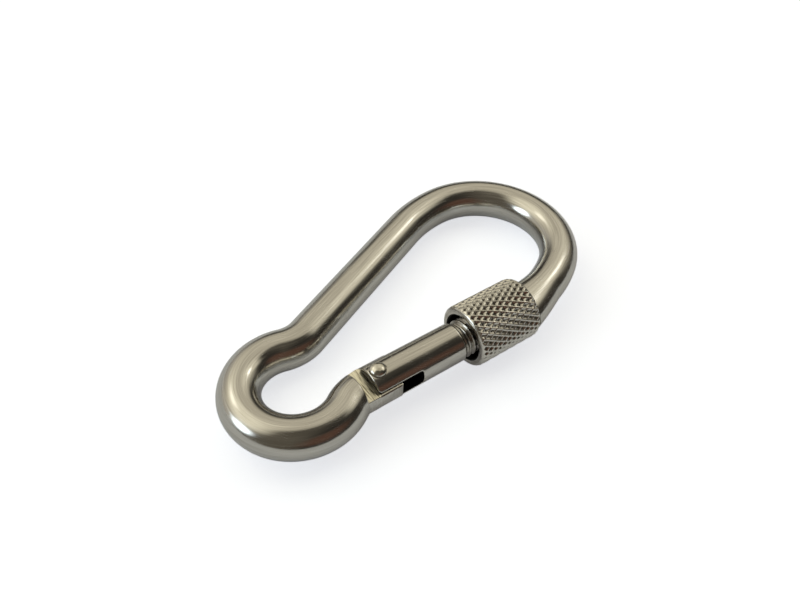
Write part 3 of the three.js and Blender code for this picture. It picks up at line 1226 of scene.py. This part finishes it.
def trimmed(
    grid: np.ndarray,
    room: Callable[[np.ndarray], np.ndarray],
    near_end: int = 60,
    rings: int = 40,
) -> np.ndarray:
    """A grid whose last stations end on a surface.

    Args:
        grid: stations by sides by xyz.
        room: a function of points that is above 0 inside and 0 on the surface.
        near_end: how many stations at the end may be changed.
        rings: how many stations take their place.

    Returns:
        The trimmed grid.
    """
    kept, tail = grid[:-near_end], grid[-near_end - 1 :]
    values = room(tail)
    sides = grid.shape[1]
    made = np.empty((rings, sides, 3))
    stations = np.arange(len(tail))
    for side in range(sides):
        below = np.nonzero(values[:, side] < 0)[0]
        last = below[0] if len(below) else len(tail) - 1
        above = values[last - 1, side]
        reach = last - 1 + (above / (above - values[last, side]) if len(below) else 1.0)
        wanted = np.linspace(0, reach, rings + 1)[1:]
        for axis in range(3):
            made[:, side, axis] = np.interp(wanted, stations, tail[:, side, axis])
    return np.concatenate([kept, made])


def shrunk(ring: np.ndarray, amount: float) -> np.ndarray:
    """A ring drawn in towards its own middle by a distance.

    Args:
        ring: the ring.
        amount: the distance.

    Returns:
        The smaller ring.
    """
    inward = ring.mean(0) - ring
    return ring + inward * (amount / np.linalg.norm(inward, axis=1, keepdims=True))


def moved_back(grid: np.ndarray, amount: float) -> np.ndarray:
    """The grid's first ring slid along the surface towards the second.

    Args:
        grid: stations by sides by xyz.
        amount: how far it slides.

    Returns:
        The moved ring.
    """
    inward = grid[1] - grid[0]
    return grid[0] + inward * (amount / np.linalg.norm(inward, axis=1, keepdims=True))


def resampled(outline: np.ndarray, spacing: float) -> np.ndarray:
    """A closed outline with points no further apart than a spacing.

    Args:
        outline: its corner points.
        spacing: the widest gap allowed.

    Returns:
        The denser outline.
    """
    points = []
    for start, end in zip(outline, np.roll(outline, -1, axis=0)):
        steps = max(1, math.ceil(np.linalg.norm(end - start) / spacing))
        part = np.linspace(0, 1, steps, endpoint=False)[:, None]
        points.append(start + (end - start) * part)
    return np.concatenate(points)


def inset_outline(outline: np.ndarray, amount: float) -> np.ndarray:
    """A closed anticlockwise outline moved inward by a distance, or outward if it is negative.

    Args:
        outline: its points.
        amount: the distance.

    Returns:
        The moved outline.
    """
    before, after = np.roll(outline, 1, axis=0), np.roll(outline, -1, axis=0)
    along = after - before
    along /= np.linalg.norm(along, axis=1, keepdims=True)
    inward = np.stack([-along[:, 1], along[:, 0]], axis=1)
    return outline + inward * amount


def pillar(
    name: str, radius: float, low: float, high: float, place: GateFrame, sides: int = 64
) -> Piece:
    """A plain round bar along Z about the rivet's axis.

    Args:
        name: the object's name.
        radius: its radius.
        low: its lower end.
        high: its upper end.
        place: the gate's frame.
        sides: how many sides it has.

    Returns:
        The bar.
    """
    angle = np.arange(sides) / sides * TAU
    flat = np.stack([radius * np.cos(angle), radius * np.sin(angle)], axis=1)
    rings = [np.column_stack([flat, np.full(sides, z)]) for z in (low, high)]
    return prism(name, rings, place)


# ----------------------------------------------------------------------------------------- gate


@dataclass
class Tongue:
    """The T-shaped tongue on the gate's front end, seen from above."""

    neck_width: float = 3.0
    neck_length: float = 2.2
    head_width: float = 6.0
    head_length: float = 2.2
    half_height: float = 3.4
    clearance: float = 0.45

    def outline(self, start: float, grow: float = 0.0, back: float = 1.0) -> np.ndarray:
        """The tongue's outline as x and z, anticlockwise.

        Args:
            start: where the neck leaves the gate.
            grow: how far the outline is moved out.
            back: how far the neck reaches back into the gate.

        Returns:
            The outline's points.
        """
        neck, head = self.neck_width / 2 + grow, self.head_width / 2 + grow
        shoulder = start + self.neck_length - grow
        front = start + self.neck_length + self.head_length + grow
        return np.array([
            (start - back, -neck), (shoulder, -neck), (shoulder, -head), (front, -head),
            (front, head), (shoulder, head), (shoulder, neck), (start - back, neck),
        ])


@dataclass
class Gate:
    """The gate tube with its fork, window, blind bore, thread and tongue."""

    radius: float = GATE_RADIUS
    back: float = GATE_BACK
    edge: float = 0.4
    shoulder: float = 24.6
    shoulder_edge: float = 1.3
    bore: float = 3.0
    bore_end: float = 36.5
    slot_half: float = 2.4
    fork_end: float = 7.9
    window_end: float = 10.4
    window_corner: float = 0.7
    mouth_corner: float = 0.9
    slot_lip: float = 0.46
    lip_depth: float = 0.28
    crest: float = 5.0
    thread_depth: float = 0.72
    pitch: float = THREAD_PITCH
    rings_per_turn: int = 14
    run_in: float = 0.35
    run_out: float = 0.7
    flank_slope: float = 3.2
    flank_offset: float = 0.3
    fade_in: float = 0.5
    fade_out: float = 0.8
    thread_end: float = 40.5
    nose_swing: float = GATE_SWING
    pin_hole: float = PIN_HOLE
    cutter_spacing: float = 0.3
    tip_length: float = 1.2
    seat_radius: float = 2.35
    seat_depth: float = 0.4
    sides: int = 192

    def thread_rings(self) -> list[tuple[float, np.ndarray]]:
        """The right-hand thread as (x, radii) pairs, fading in at its two ends.

        Returns:
            The pairs, from the shoulder on.
        """
        start = self.shoulder + self.run_in
        turn = np.arange(self.sides) / self.sides
        rings = []
        for x in np.arange(start, self.thread_end, self.pitch / self.rings_per_turn):
            phase = np.mod(x / self.pitch - turn, 1.0)
            ridge = np.clip(np.abs(phase - 0.5) * self.flank_slope - self.flank_offset, 0, 1)
            fade = min(1.0, (x - start) / self.fade_in, (self.thread_end - x) / self.fade_out)
            rings.append((x, self.crest - self.thread_depth * (1 - (1 - ridge) * fade)))
        return rings

    def tube(self, place: GateFrame) -> Piece:
        """The tube before it is slotted.

        Args:
            place: the gate's frame.

        Returns:
            The tube, with its bore and thread.
        """
        root = self.crest - self.thread_depth
        skin = RingSkin(self.sides)
        inner = [(x, self.bore) for x in np.linspace(self.bore_end, -self.back, 30)]
        skin.turn(inner, 1)
        corner = arc(-self.back + self.edge, self.radius - self.edge, self.edge, 180, 90, 10)
        skin.turn([(-self.back, self.bore + CLEAR), *corner])
        body = np.linspace(-self.back + self.edge, self.shoulder - self.shoulder_edge, 60)[1:-1]
        skin.turn([(x, self.radius) for x in body])
        centre = self.radius - self.shoulder_edge
        low = math.degrees(math.asin((root - centre) / self.shoulder_edge))
        skin.turn(arc(self.shoulder - self.shoulder_edge, centre, self.shoulder_edge, 90, low, 12))
        step = self.pitch / self.rings_per_turn
        for x, radii in self.thread_rings():
            skin.add(circle(x, radii, self.sides), skin.along[-1] + step, 2)
        plain = (self.thread_end + self.run_out, self.nose_swing - self.tip_length)
        skin.turn([(x, self.crest) for x in plain], 2)
        last = circle(0.0, self.crest, self.sides)
        last[:, 0] = np.sqrt(self.nose_swing**2 - last[:, 1] ** 2)
        skin.add(last, skin.along[-1] + self.tip_length, 2)
        return skin.build("gate_tube", place)

    def slot_cutter(self, end: float, outer: bool, place: GateFrame) -> Piece:
        """A cutter for one side of the slot, flared where it meets the tube's surface.

        Args:
            end: how far along the gate the slot runs.
            outer: True for the hook's outer side.
            place: the gate's frame.

        Returns:
            The cutter.
        """
        corner, mouth = self.window_corner, self.mouth_corner
        arm = [(mouth - mouth * math.sin(angle), mouth - mouth * math.cos(angle))
               for angle in np.linspace(math.pi / 2, 0, 9)]
        lower = [(x, -self.slot_half - 2 * mouth) for x in (-3 * self.back, -self.back)]
        lower += [(x - self.back, -self.slot_half - z) for x, z in arm]
        points = list(lower)
        for start in (-90, 0):
            centre = np.array([end - corner, math.copysign(self.slot_half - corner, start + 45)])
            for degrees in np.linspace(start, start + 90, 7):
                angle = math.radians(degrees)
                points.append(tuple(centre + corner * np.array([math.cos(angle), math.sin(angle)])))
        points += [(x, -z) for x, z in reversed(lower)]
        outline = resampled(np.array(points), self.cutter_spacing)
        side = -1.0 if outer else 1.0
        rings = [np.column_stack([outline[:, 0], np.zeros(len(outline)), outline[:, 1]])]
        for angle in np.linspace(0, math.pi / 2, 5):
            flat = inset_outline(outline, -self.slot_lip * (1 - math.cos(angle)))
            radius = self.radius + CLEAR - self.lip_depth * (1 - math.sin(angle))
            high = side * np.sqrt(radius**2 - flat[:, 1] ** 2)
            rings.append(np.column_stack([flat[:, 0], high, flat[:, 1]]))
        rings.append(rings[-1] + np.array([0.0, side * self.radius, 0.0]))
        return prism("slot", rings, place)

    def build(self, place: GateFrame, finishes: Finishes) -> Piece:
        """Makes and dresses the gate.

        Args:
            place: the gate's frame.
            finishes: the finishes to use.

        Returns:
            The finished piece.
        """
        piece = self.tube(place)
        face_outward(piece)
        tongue = Tongue()
        outline = tongue.outline(self.nose_swing)
        rings = [np.column_stack([outline[:, 0], np.full(len(outline), y), outline[:, 1]])
                 for y in (-tongue.half_height, tongue.half_height)]
        combine(piece, prism("tongue", rings, place), "UNION")
        combine(piece, self.slot_cutter(self.window_end, True, place), "DIFFERENCE")
        combine(piece, self.slot_cutter(self.fork_end, False, place), "DIFFERENCE")
        reach = 2 * self.radius
        combine(piece, pillar("bore", self.pin_hole, -reach, reach, place), "DIFFERENCE")
        floor = self.radius - self.seat_depth
        for low, high in ((floor, reach), (-reach, -floor)):
            seat = pillar("seat", self.seat_radius, low, high, place)
            combine(piece, seat, "DIFFERENCE")
        smooth(piece, 28)
        self.paint(piece, place)
        # Slot 1 is painted shade: near-black metal in the bore and the slot.
        materials = [finishes.polished, finishes.painted_shade, finishes.turned]
        return dress(piece, materials, Body.GATE, "gate")

    def paint(self, piece: Piece, place: GateFrame) -> None:
        """Paints near-black shade on the bore and the slot's walls, and leaves the rest as turned or
        polished.

        Args:
            piece: the gate.
            place: the gate's frame.
        """
        centres, normals = face_data(piece, place)
        x, y, z = centres.T
        radial = np.hypot(y, z)
        slots = np.zeros(len(centres), dtype=np.int32)
        slots[x > self.shoulder + 2 * SLACK] = 2
        in_bore = x < self.bore_end + 5 * SLACK
        # Painted shade (slot 1): near-black on the bore's insides and the slot's walls.
        deep = (radial < self.radius - 5 * SLACK) & in_bore & (x > -self.back + SLACK / 2)
        walls = (np.abs(normals[:, 2]) > SQUARE) & (np.abs(z) < self.slot_half + SLACK / 2)
        walls &= x < self.window_end + 3 * SLACK
        slots[(deep & (x < self.shoulder)) | walls] = 1
        slots[(radial < self.bore + SLACK / 2) & in_bore] = 1
        # The end face and the slot's mouth get painted shade too, as they sit in shadow.
        end_face = (normals[:, 0] < -SQUARE) & (x < CLEAR - self.back)
        mouth = (x < self.mouth_corner - self.back) & (normals[:, 2] * np.sign(z) < -0.02)
        slots[end_face | mouth] = 1
        piece.data.polygons.foreach_set("material_index", slots)


@dataclass
class HingeRivet:
    """The cross rivet, peened to a dome at each end."""

    pin: float = 1.6
    head: float = 2.2
    height: float = 1.2
    surface: float = GATE_RADIUS
    seat_depth: float = 0.25
    rim_break: float = 0.12
    rim_height: float = 0.3
    dome_fall: float = 0.9
    dome_rise: float = 1.15
    uv_step: float = 0.2
    dents: tuple[tuple[int, float, float], ...] = ((3, 0.012, 0.6), (5, 0.008, 0.0))
    sides: int = 64

    def build(self, place: GateFrame, finishes: Finishes) -> Piece:
        """Makes and dresses the rivet.

        Args:
            place: the gate's frame.
            finishes: the finishes to use.

        Returns:
            The finished piece.
        """
        seat = self.surface - self.seat_depth
        crown = self.surface + self.height
        waist = seat + self.rim_height
        profile = [(0.0, self.pin), (seat, self.pin), (seat, self.head - self.rim_break)]
        profile += [(seat + self.rim_height / 3, self.head - self.rim_break / 6), (waist, self.head)]
        for part in np.linspace(0, 1, 16)[1:]:
            angle = part * math.pi / 2
            fall = max(0.02, math.cos(angle) ** self.dome_fall)
            rise = math.sin(angle) ** self.dome_rise
            profile.append((waist + (crown - waist) * rise, self.head * fall))
        both = [(-z, radius) for z, radius in reversed(profile[1:])] + profile[1:]
        skin = RingSkin(self.sides)
        angle = np.arange(self.sides) / self.sides * TAU
        hammered = 1 + sum(depth * np.sin(count * angle + phase) for count, depth, phase in self.dents)
        distance = 0.0
        for z, radius in both:
            wobble = hammered if abs(z) > seat else 1.0
            x, y = radius * wobble * np.cos(angle), radius * wobble * np.sin(angle)
            skin.add(np.column_stack([x, y, np.full(self.sides, z)]), distance)
            distance += self.uv_step
        piece = skin.build("domed_rivet", place)
        face_outward(piece)
        smooth(piece, 40)
        return dress(piece, [finishes.peened], Body.GATE, "hinge_rivet")


# -------------------------------------------------------------------- spring, plunger and sleeve


@dataclass
class SpringPlunger:
    """The headed pin that the tang's cam pushes along the gate's bore."""

    face: float = 6.2
    head_length: float = 3.0
    head: float = 2.75
    stem: float = 1.45
    stem_length: float = 5.0
    edge: float = 0.5
    break_edge: float = 0.1
    centre_hole: float = 0.02
    sides: int = 64

    def build(self, place: GateFrame, finishes: Finishes) -> Piece:
        """Makes and dresses the plunger.

        Args:
            place: the gate's frame.
            finishes: the finishes to use.

        Returns:
            The finished piece.
        """
        shoulder = self.face + self.head_length
        tip = shoulder + self.stem_length
        skin = RingSkin(self.sides)
        small = self.break_edge
        skin.turn([(self.face, self.centre_hole), (self.face, self.head - self.edge)])
        skin.turn(arc(self.face + self.edge, self.head - self.edge, self.edge, 180, 90))
        skin.turn([(shoulder - small, self.head), (shoulder, self.head - small)])
        skin.turn([(shoulder, self.stem + small), (shoulder + small, self.stem)])
        skin.turn(arc(tip - self.edge, self.stem - self.edge, self.edge, 90, 0))
        skin.turn([(tip, self.centre_hole)])
        piece = skin.build("turned_plunger", place)
        face_outward(piece)
        smooth(piece, 40)
        # The plunger takes painted shade: near-black, as it sits in the gate's shaded bore.
        return dress(piece, [finishes.painted_shade], Body.PLUNGER, "spring_plunger")


@dataclass
class ReturnSpring:
    """The compression coil behind the plunger, with closed ends."""

    start: float = 9.85
    end: float = 35.85
    coil: float = 2.35
    wire: float = 0.35
    turns: int = 11
    packing: float = 0.9
    steps: int = 36
    sides: int = 12

    def build(self, place: GateFrame, finishes: Finishes) -> Piece:
        """Makes and dresses the spring.

        Args:
            place: the gate's frame.
            finishes: the finishes to use.

        Returns:
            The finished piece.
        """
        count = self.turns * self.steps
        turn = np.linspace(0, self.turns, count + 1)
        closed = 2 * self.wire / self.packing
        travel = np.clip(turn, 0, 1) * closed + np.clip(turn - self.turns + 1, 0, 1) * closed
        middle = np.clip(turn - 1, 0, self.turns - 2) / (self.turns - 2)
        x = self.start + travel + middle * (self.end - self.start - 2 * closed)
        angle = TAU * turn
        centre = np.stack([x, self.coil * np.cos(angle), self.coil * np.sin(angle)], axis=1)
        tangent = np.gradient(centre, axis=0)
        tangent /= np.linalg.norm(tangent, axis=1, keepdims=True)
        radial = np.stack([np.zeros_like(x), np.cos(angle), np.sin(angle)], axis=1)
        across = np.cross(tangent, radial)
        around = np.arange(self.sides) / self.sides * TAU
        skin = RingSkin(self.sides)
        for index in range(count + 1):
            ring = centre[index] + self.wire * (
                np.cos(around)[:, None] * radial[index] + np.sin(around)[:, None] * across[index]
            )
            skin.add(ring, index * TAU * self.coil / self.steps)
        piece = skin.build("coil_spring", place)
        face_outward(piece)
        smooth(piece, 50)
        # The spring takes painted shade: near-black, as it lies in the gate's shaded bore.
        return dress(piece, [finishes.painted_shade], Body.GATE, "return_spring")


@dataclass
class ScrewSleeve:
    """The knurled sleeve, turned inside and diamond-knurled outside."""

    radius: float = 8.48
    rim_radius: float = 7.4
    rim_length: float = 1.3
    back: float = 26.6
    length: float = 19.9
    mouth: float = 6.4
    mouth_depth: float = 6.8
    bore: float = 5.2
    nose_bore: float = 5.6
    nose_depth: float = 6.0
    starts: int = 30
    helix: float = math.radians(30)
    knurl_depth: float = 0.5
    ridge_top: float = 0.1
    ridge_foot: float = 0.92
    cross_height: float = 0.85
    edge_break: float = 0.25
    nose_break: float = 0.15
    face_break: float = 0.12
    fine_break: float = 0.1
    thread_depth: float = 0.5
    thread_fade: float = 0.6
    thread_slope: float = 4.0
    thread_root: float = 1.1
    thread_spacing: float = 0.15
    thread_inset: float = 0.3
    sides: int = 420
    spacing: float = 0.13

    def knurl(self, x: float) -> np.ndarray:
        """Height of the knurl round the sleeve at one place.

        Args:
            x: the place along the gate.

        Returns:
            A height for each point of a ring, 0 in a pit and 1 on a ridge.
        """
        turn = np.arange(self.sides) / self.sides
        lead = x * math.tan(self.helix) / (TAU * self.radius)
        ridges = []
        for hand, height in ((-1, 1.0), (1, self.cross_height)):
            phase = np.mod(self.starts * (turn + hand * lead), 1.0)
            off_ridge = 2 * np.minimum(phase, 1 - phase)
            fall = (off_ridge - self.ridge_top) / (self.ridge_foot - self.ridge_top)
            ridges.append(height * (1 - np.clip(fall, 0, 1)))
        return np.maximum(*ridges)

    def outer_rings(self, skin: RingSkin, heights: list[np.ndarray]) -> None:
        """Adds the knurled outside, from the back rim to the front rim.

        Args:
            skin: the sleeve's surface so far.
            heights: the knurl's height on each ring, which grows with it.
        """
        front = self.back + self.length
        for x in np.arange(self.back + 0.02, front, self.spacing):
            near = min(x - self.back, front - x) / self.rim_length
            rise = math.sqrt(max(0.0, 1 - max(0.0, 1 - near) ** 2))
            limit = self.rim_radius + (self.radius - self.rim_radius) * rise
            height = self.knurl(x)
            cut = self.radius - self.knurl_depth * (1 - height)
            radii = np.minimum(cut, limit)
            # The heights also set the knurl's painted pit shade; faces cut flat by the rim count as
            # ridges and stay unshaded.
            bare = np.clip((cut - limit) / self.fine_break, 0, 1)
            skin.add(circle(x, radii, self.sides), skin.along[-1] + self.spacing, 0)
            heights.append(np.maximum(height, bare))

    def inner_rings(self, skin: RingSkin) -> None:
        """Adds the front face, the bores, the inner thread and the mouth, with painted shade inside.

        Args:
            skin: the sleeve's surface so far.
        """
        front = self.back + self.length
        nose_start = front - self.nose_depth
        mouth_end = self.back + self.mouth_depth
        face = self.rim_radius - self.face_break
        skin.turn([(front, face), (front, self.nose_bore + self.nose_break)], 1)
        skin.turn([(x, self.nose_bore) for x in (front - self.nose_break, nose_start)], 2)
        turn = np.arange(self.sides) / self.sides
        start, end = nose_start - self.thread_inset, mouth_end + self.thread_inset
        for x in np.arange(start, end, -self.thread_spacing):
            phase = np.mod(x / THREAD_PITCH - turn, 1.0)
            groove = np.clip(self.thread_root - np.abs(phase - 0.5) * self.thread_slope, 0, 1)
            fade = min(1.0, (nose_start - x) / self.thread_fade, (x - mouth_end) / self.thread_fade)
            ring = circle(x, self.bore + self.thread_depth * groove * fade, self.sides)
            skin.add(ring, skin.along[-1] + self.thread_spacing, 2)
        fine, edge = self.fine_break, self.edge_break
        skin.turn([(mouth_end, self.bore + fine), (mouth_end, self.mouth - fine)], 2)
        skin.turn([(mouth_end - fine, self.mouth), (self.back + edge, self.mouth)], 2)
        skin.turn([(self.back, self.mouth + edge)], 1)

    def build(self, place: GateFrame, finishes: Finishes) -> Piece:
        """Makes and dresses the sleeve.

        Args:
            place: the gate's frame.
            finishes: the finishes to use.

        Returns:
            The finished piece.
        """
        skin = RingSkin(self.sides)
        skin.turn([(self.back, self.rim_radius - self.face_break)], 1)
        heights: list[np.ndarray] = [np.ones(self.sides)]
        self.outer_rings(skin, heights)
        self.inner_rings(skin)
        piece = skin.build("knurled_sleeve", place, closed=True)
        values = np.ones((len(skin.rings), self.sides))
        values[: len(heights)] = np.array(heights)
        layer = piece.data.attributes.new("knurl_height", "FLOAT", "POINT")
        layer.data.foreach_set("value", values.astype(np.float32).ravel())
        face_outward(piece)
        smooth(piece, 50)
        # Slot 2 is painted shade: near-black inside the bores, the thread and the mouth.
        materials = [finishes.knurled, finishes.turned, finishes.painted_shade]
        return dress(piece, materials, Body.SLEEVE, "screw_sleeve")


# --------------------------------------------------------------------------------------- studio


@dataclass(frozen=True)
class Glow:
    """One soft oval of light or shade on the room's walls and ceiling.

    turn is its direction right of the camera's, elevation its height, both in degrees, and
    width and height are the oval's half angles.
    """

    turn: float
    elevation: float
    width: float
    height: float
    softness: float
    color: Color


CEILING = Glow(-16, 56, 62, 33, 0.16, (0.63, 0.58, 0.46))
ROOM = (
    Glow(142, 22, 34, 15, 0.4, (0.12, 0.066, 0.046)),
    Glow(-150, 35, 36, 60, 0.4, (0.125, 0.11, 0.085)),
    Glow(-70, 22, 40, 20, 0.3, (0.50, 0.47, 0.41)),
    CEILING,
    Glow(-78, 54, 26, 18, 0.6, (1.08, 1.01, 0.80)),
    Glow(48, 44, 20, 11, 0.6, (0.9, 0.84, 0.67)),
    Glow(47, 41, 5, 4, 0.5, (2.8, 2.7, 2.4)),
    Glow(-57, 46, 8, 5, 0.5, (2.0, 1.9, 1.6)),
    Glow(-111, 23, 14, 12, 0.35, (2.6, 2.9, 3.1)),
)


@dataclass
class Studio:
    """A pale floor, soft light and a camera, none of which is part of the hook."""

    azimuth: float = -49.75
    elevation: float = 46.0
    roll: float = 2.73
    distance: float = 0.2083
    aim: tuple[float, float, float] = (-0.00195, 0.00287, 0.0)
    lens: float = 34.96
    sensor: float = 36.0
    near: float = 0.005
    far: float = 50.0
    floor_size: float = 8.0
    sleeve_gap: float = 0.12
    bow_gap: float = 0.05
    floor_tone: Color = (0.84, 0.89, 0.98)
    floor_lift: Color = (0.65, 0.66, 0.685)
    floor_shine: float = 0.12
    shade: Color = (0.038, 0.034, 0.028)
    pale: Color = (1.05, 1.05, 1.05)

    def camera(self) -> None:
        """Makes the camera."""
        turn, rise = math.radians(self.azimuth), math.radians(self.elevation)
        back = Vector((
            math.sin(turn) * math.cos(rise),
            -math.cos(turn) * math.cos(rise),
            math.sin(rise),
        ))
        data = bpy.data.cameras.new("camera")
        data.lens = self.lens
        data.sensor_width = self.sensor
        data.clip_start, data.clip_end = self.near, self.far
        camera = bpy.data.objects.new("camera", data)
        bpy.context.scene.collection.objects.link(camera)
        upright = (-back).to_track_quat("-Z", "Y").to_matrix()
        rolled = upright @ Matrix.Rotation(math.radians(self.roll), 3, "Z")
        place = Matrix.Translation(Vector(self.aim) + back * self.distance)
        camera.matrix_world = place @ rolled.to_4x4()
        bpy.context.scene.camera = camera

    def floor(self, place: GateFrame) -> None:
        """Lays the floor under the sleeve and the two bows, which the hook rests on.

        Args:
            place: the gate's frame.
        """
        hook, sleeve = HookBody(), ScrewSleeve()
        _, small, _, _, big, _ = hook.bends()
        bow_height = -hook.bar_radius - self.bow_gap
        sleeve_middle = sleeve.back + sleeve.length / 2
        sleeve_low = place.to_row(np.array([sleeve_middle, 0.0, -sleeve.radius - self.sleeve_gap]))
        bow_low = place.to_row(np.array([*small.at(math.pi / 2), bow_height]))
        far_low = place.to_row(np.array([*big.at(math.pi / 3), bow_height]))
        normal = np.cross(far_low - sleeve_low, bow_low - sleeve_low)
        normal /= np.linalg.norm(normal)
        mesh = bpy.data.meshes.new("floor")
        half = self.floor_size / 2
        corners = [(-half, -half, 0), (half, -half, 0), (half, half, 0), (-half, half, 0)]
        mesh.from_pydata(corners, [], [(0, 1, 2, 3)])
        floor = link("floor", mesh)
        tilt = Vector((0, 0, 1)).rotation_difference(Vector(normal)).to_matrix().to_4x4()
        floor.matrix_world = Matrix.Translation(Vector(sleeve_low)) @ tilt
        mesh.materials.append(self.floor_material())

    def floor_material(self) -> bpy.types.Material:
        """Matt paper that looks paler than it shines on the hook.

        Returns:
            The material.
        """
        material = bpy.data.materials.new("pale_floor")
        material.use_nodes = True
        sheet = NodeSheet(material.node_tree)
        sheet.tree.nodes.remove(sheet.tree.nodes["Principled BSDF"])
        matt = sheet.add("ShaderNodeBsdfDiffuse")
        matt.inputs["Color"].default_value = (*self.floor_tone, 1.0)
        lift = sheet.add("ShaderNodeEmission")
        lift.inputs["Color"].default_value = (*self.floor_lift, 1.0)
        seen = sheet.add("ShaderNodeLightPath").outputs["Is Camera Ray"]
        sheet.join(sheet.remap(seen, WHOLE, (self.floor_shine, 1.0)), lift.inputs["Strength"])
        both = sheet.add("ShaderNodeAddShader")
        sheet.join(matt.outputs["BSDF"], both.inputs[0])
        sheet.join(lift.outputs["Emission"], both.inputs[1])
        sheet.join(both.outputs["Shader"], sheet.tree.nodes["Material Output"].inputs["Surface"])
        return material

    def room(self) -> None:
        """Surrounds the hook with a soft room, plain and pale where the camera looks at it."""
        world = bpy.data.worlds.new("room")
        world.use_nodes = True
        bpy.context.scene.world = world
        sheet = NodeSheet(world.node_tree)
        direction = sheet.add("ShaderNodeTexCoord").outputs["Generated"]
        shown = sheet.add("ShaderNodeRGB").outputs["Color"]
        shown.default_value = (*self.shade, 1.0)
        for glow in ROOM:
            amount = self.glow_amount(sheet, direction, glow)
            shown = sheet.cover(amount, shown, glow.color)
        seen = sheet.add("ShaderNodeLightPath").outputs["Is Camera Ray"]
        shown = sheet.cover(seen, shown, self.pale)
        sheet.join(shown, sheet.tree.nodes["Background"].inputs["Color"])

    def glow_amount(
        self, sheet: NodeSheet, direction: Socket, glow: Glow
    ) -> Socket:
        """How much of a glow is seen in each direction.

        Args:
            sheet: the room's nodes.
            direction: the direction looked in.
            glow: the glow.

        Returns:
            A value from 0 to 1.
        """
        turned = sheet.add("ShaderNodeMapping", vector_type="TEXTURE")
        turned.inputs["Rotation"].default_value = (
            math.radians(glow.elevation), 0.0, math.radians(self.azimuth - glow.turn)
        )
        half_width = math.sin(math.radians(glow.width))
        half_height = math.sin(math.radians(glow.height))
        turned.inputs["Scale"].default_value = (half_width, 1.0, half_height)
        sheet.join(direction, turned.inputs["Vector"])
        split = sheet.add("ShaderNodeSeparateXYZ")
        sheet.join(turned.outputs["Vector"], split.inputs["Vector"])
        across = sheet.math("MULTIPLY", split.outputs["X"], split.outputs["X"])
        up = sheet.math("MULTIPLY", split.outputs["Z"], split.outputs["Z"])
        reach = sheet.math("ADD", across, up)
        edge = sheet.add("ShaderNodeMapRange", interpolation_type="SMOOTHSTEP")
        edge.inputs["From Min"].default_value = (1 + glow.softness) ** 2
        edge.inputs["From Max"].default_value = (1 - glow.softness) ** 2
        sheet.join(reach, edge.inputs["Value"])
        ahead = sheet.math("GREATER_THAN", split.outputs["Y"], 0.0)
        return sheet.math("MULTIPLY", edge.outputs["Result"], ahead)

    def build(self, place: GateFrame) -> None:
        """Sets up the whole studio.

        Args:
            place: the gate's frame.
        """
        self.camera()
        self.floor(place)
        self.room()
        bpy.context.scene.view_settings.view_transform = "Standard"


# ----------------------------------------------------------------------------------------- main


def main() -> None:
    """Builds every piece of the hook, and then the studio round it."""
    logging.basicConfig(level=logging.INFO, format="%(name)s: %(message)s")
    place = GateFrame.from_joints(FRAME["joints"])
    finishes = Finishes()
    Studio().build(place)
    for maker in (HookBody(), Gate(), HingeRivet(), SpringPlunger(), ReturnSpring(), ScrewSleeve()):
        piece = maker.build(place, finishes)
        LOG.info("%s is ready: %s", type(maker).__name__, piece.name)


if __name__ == "__main__":
    main()
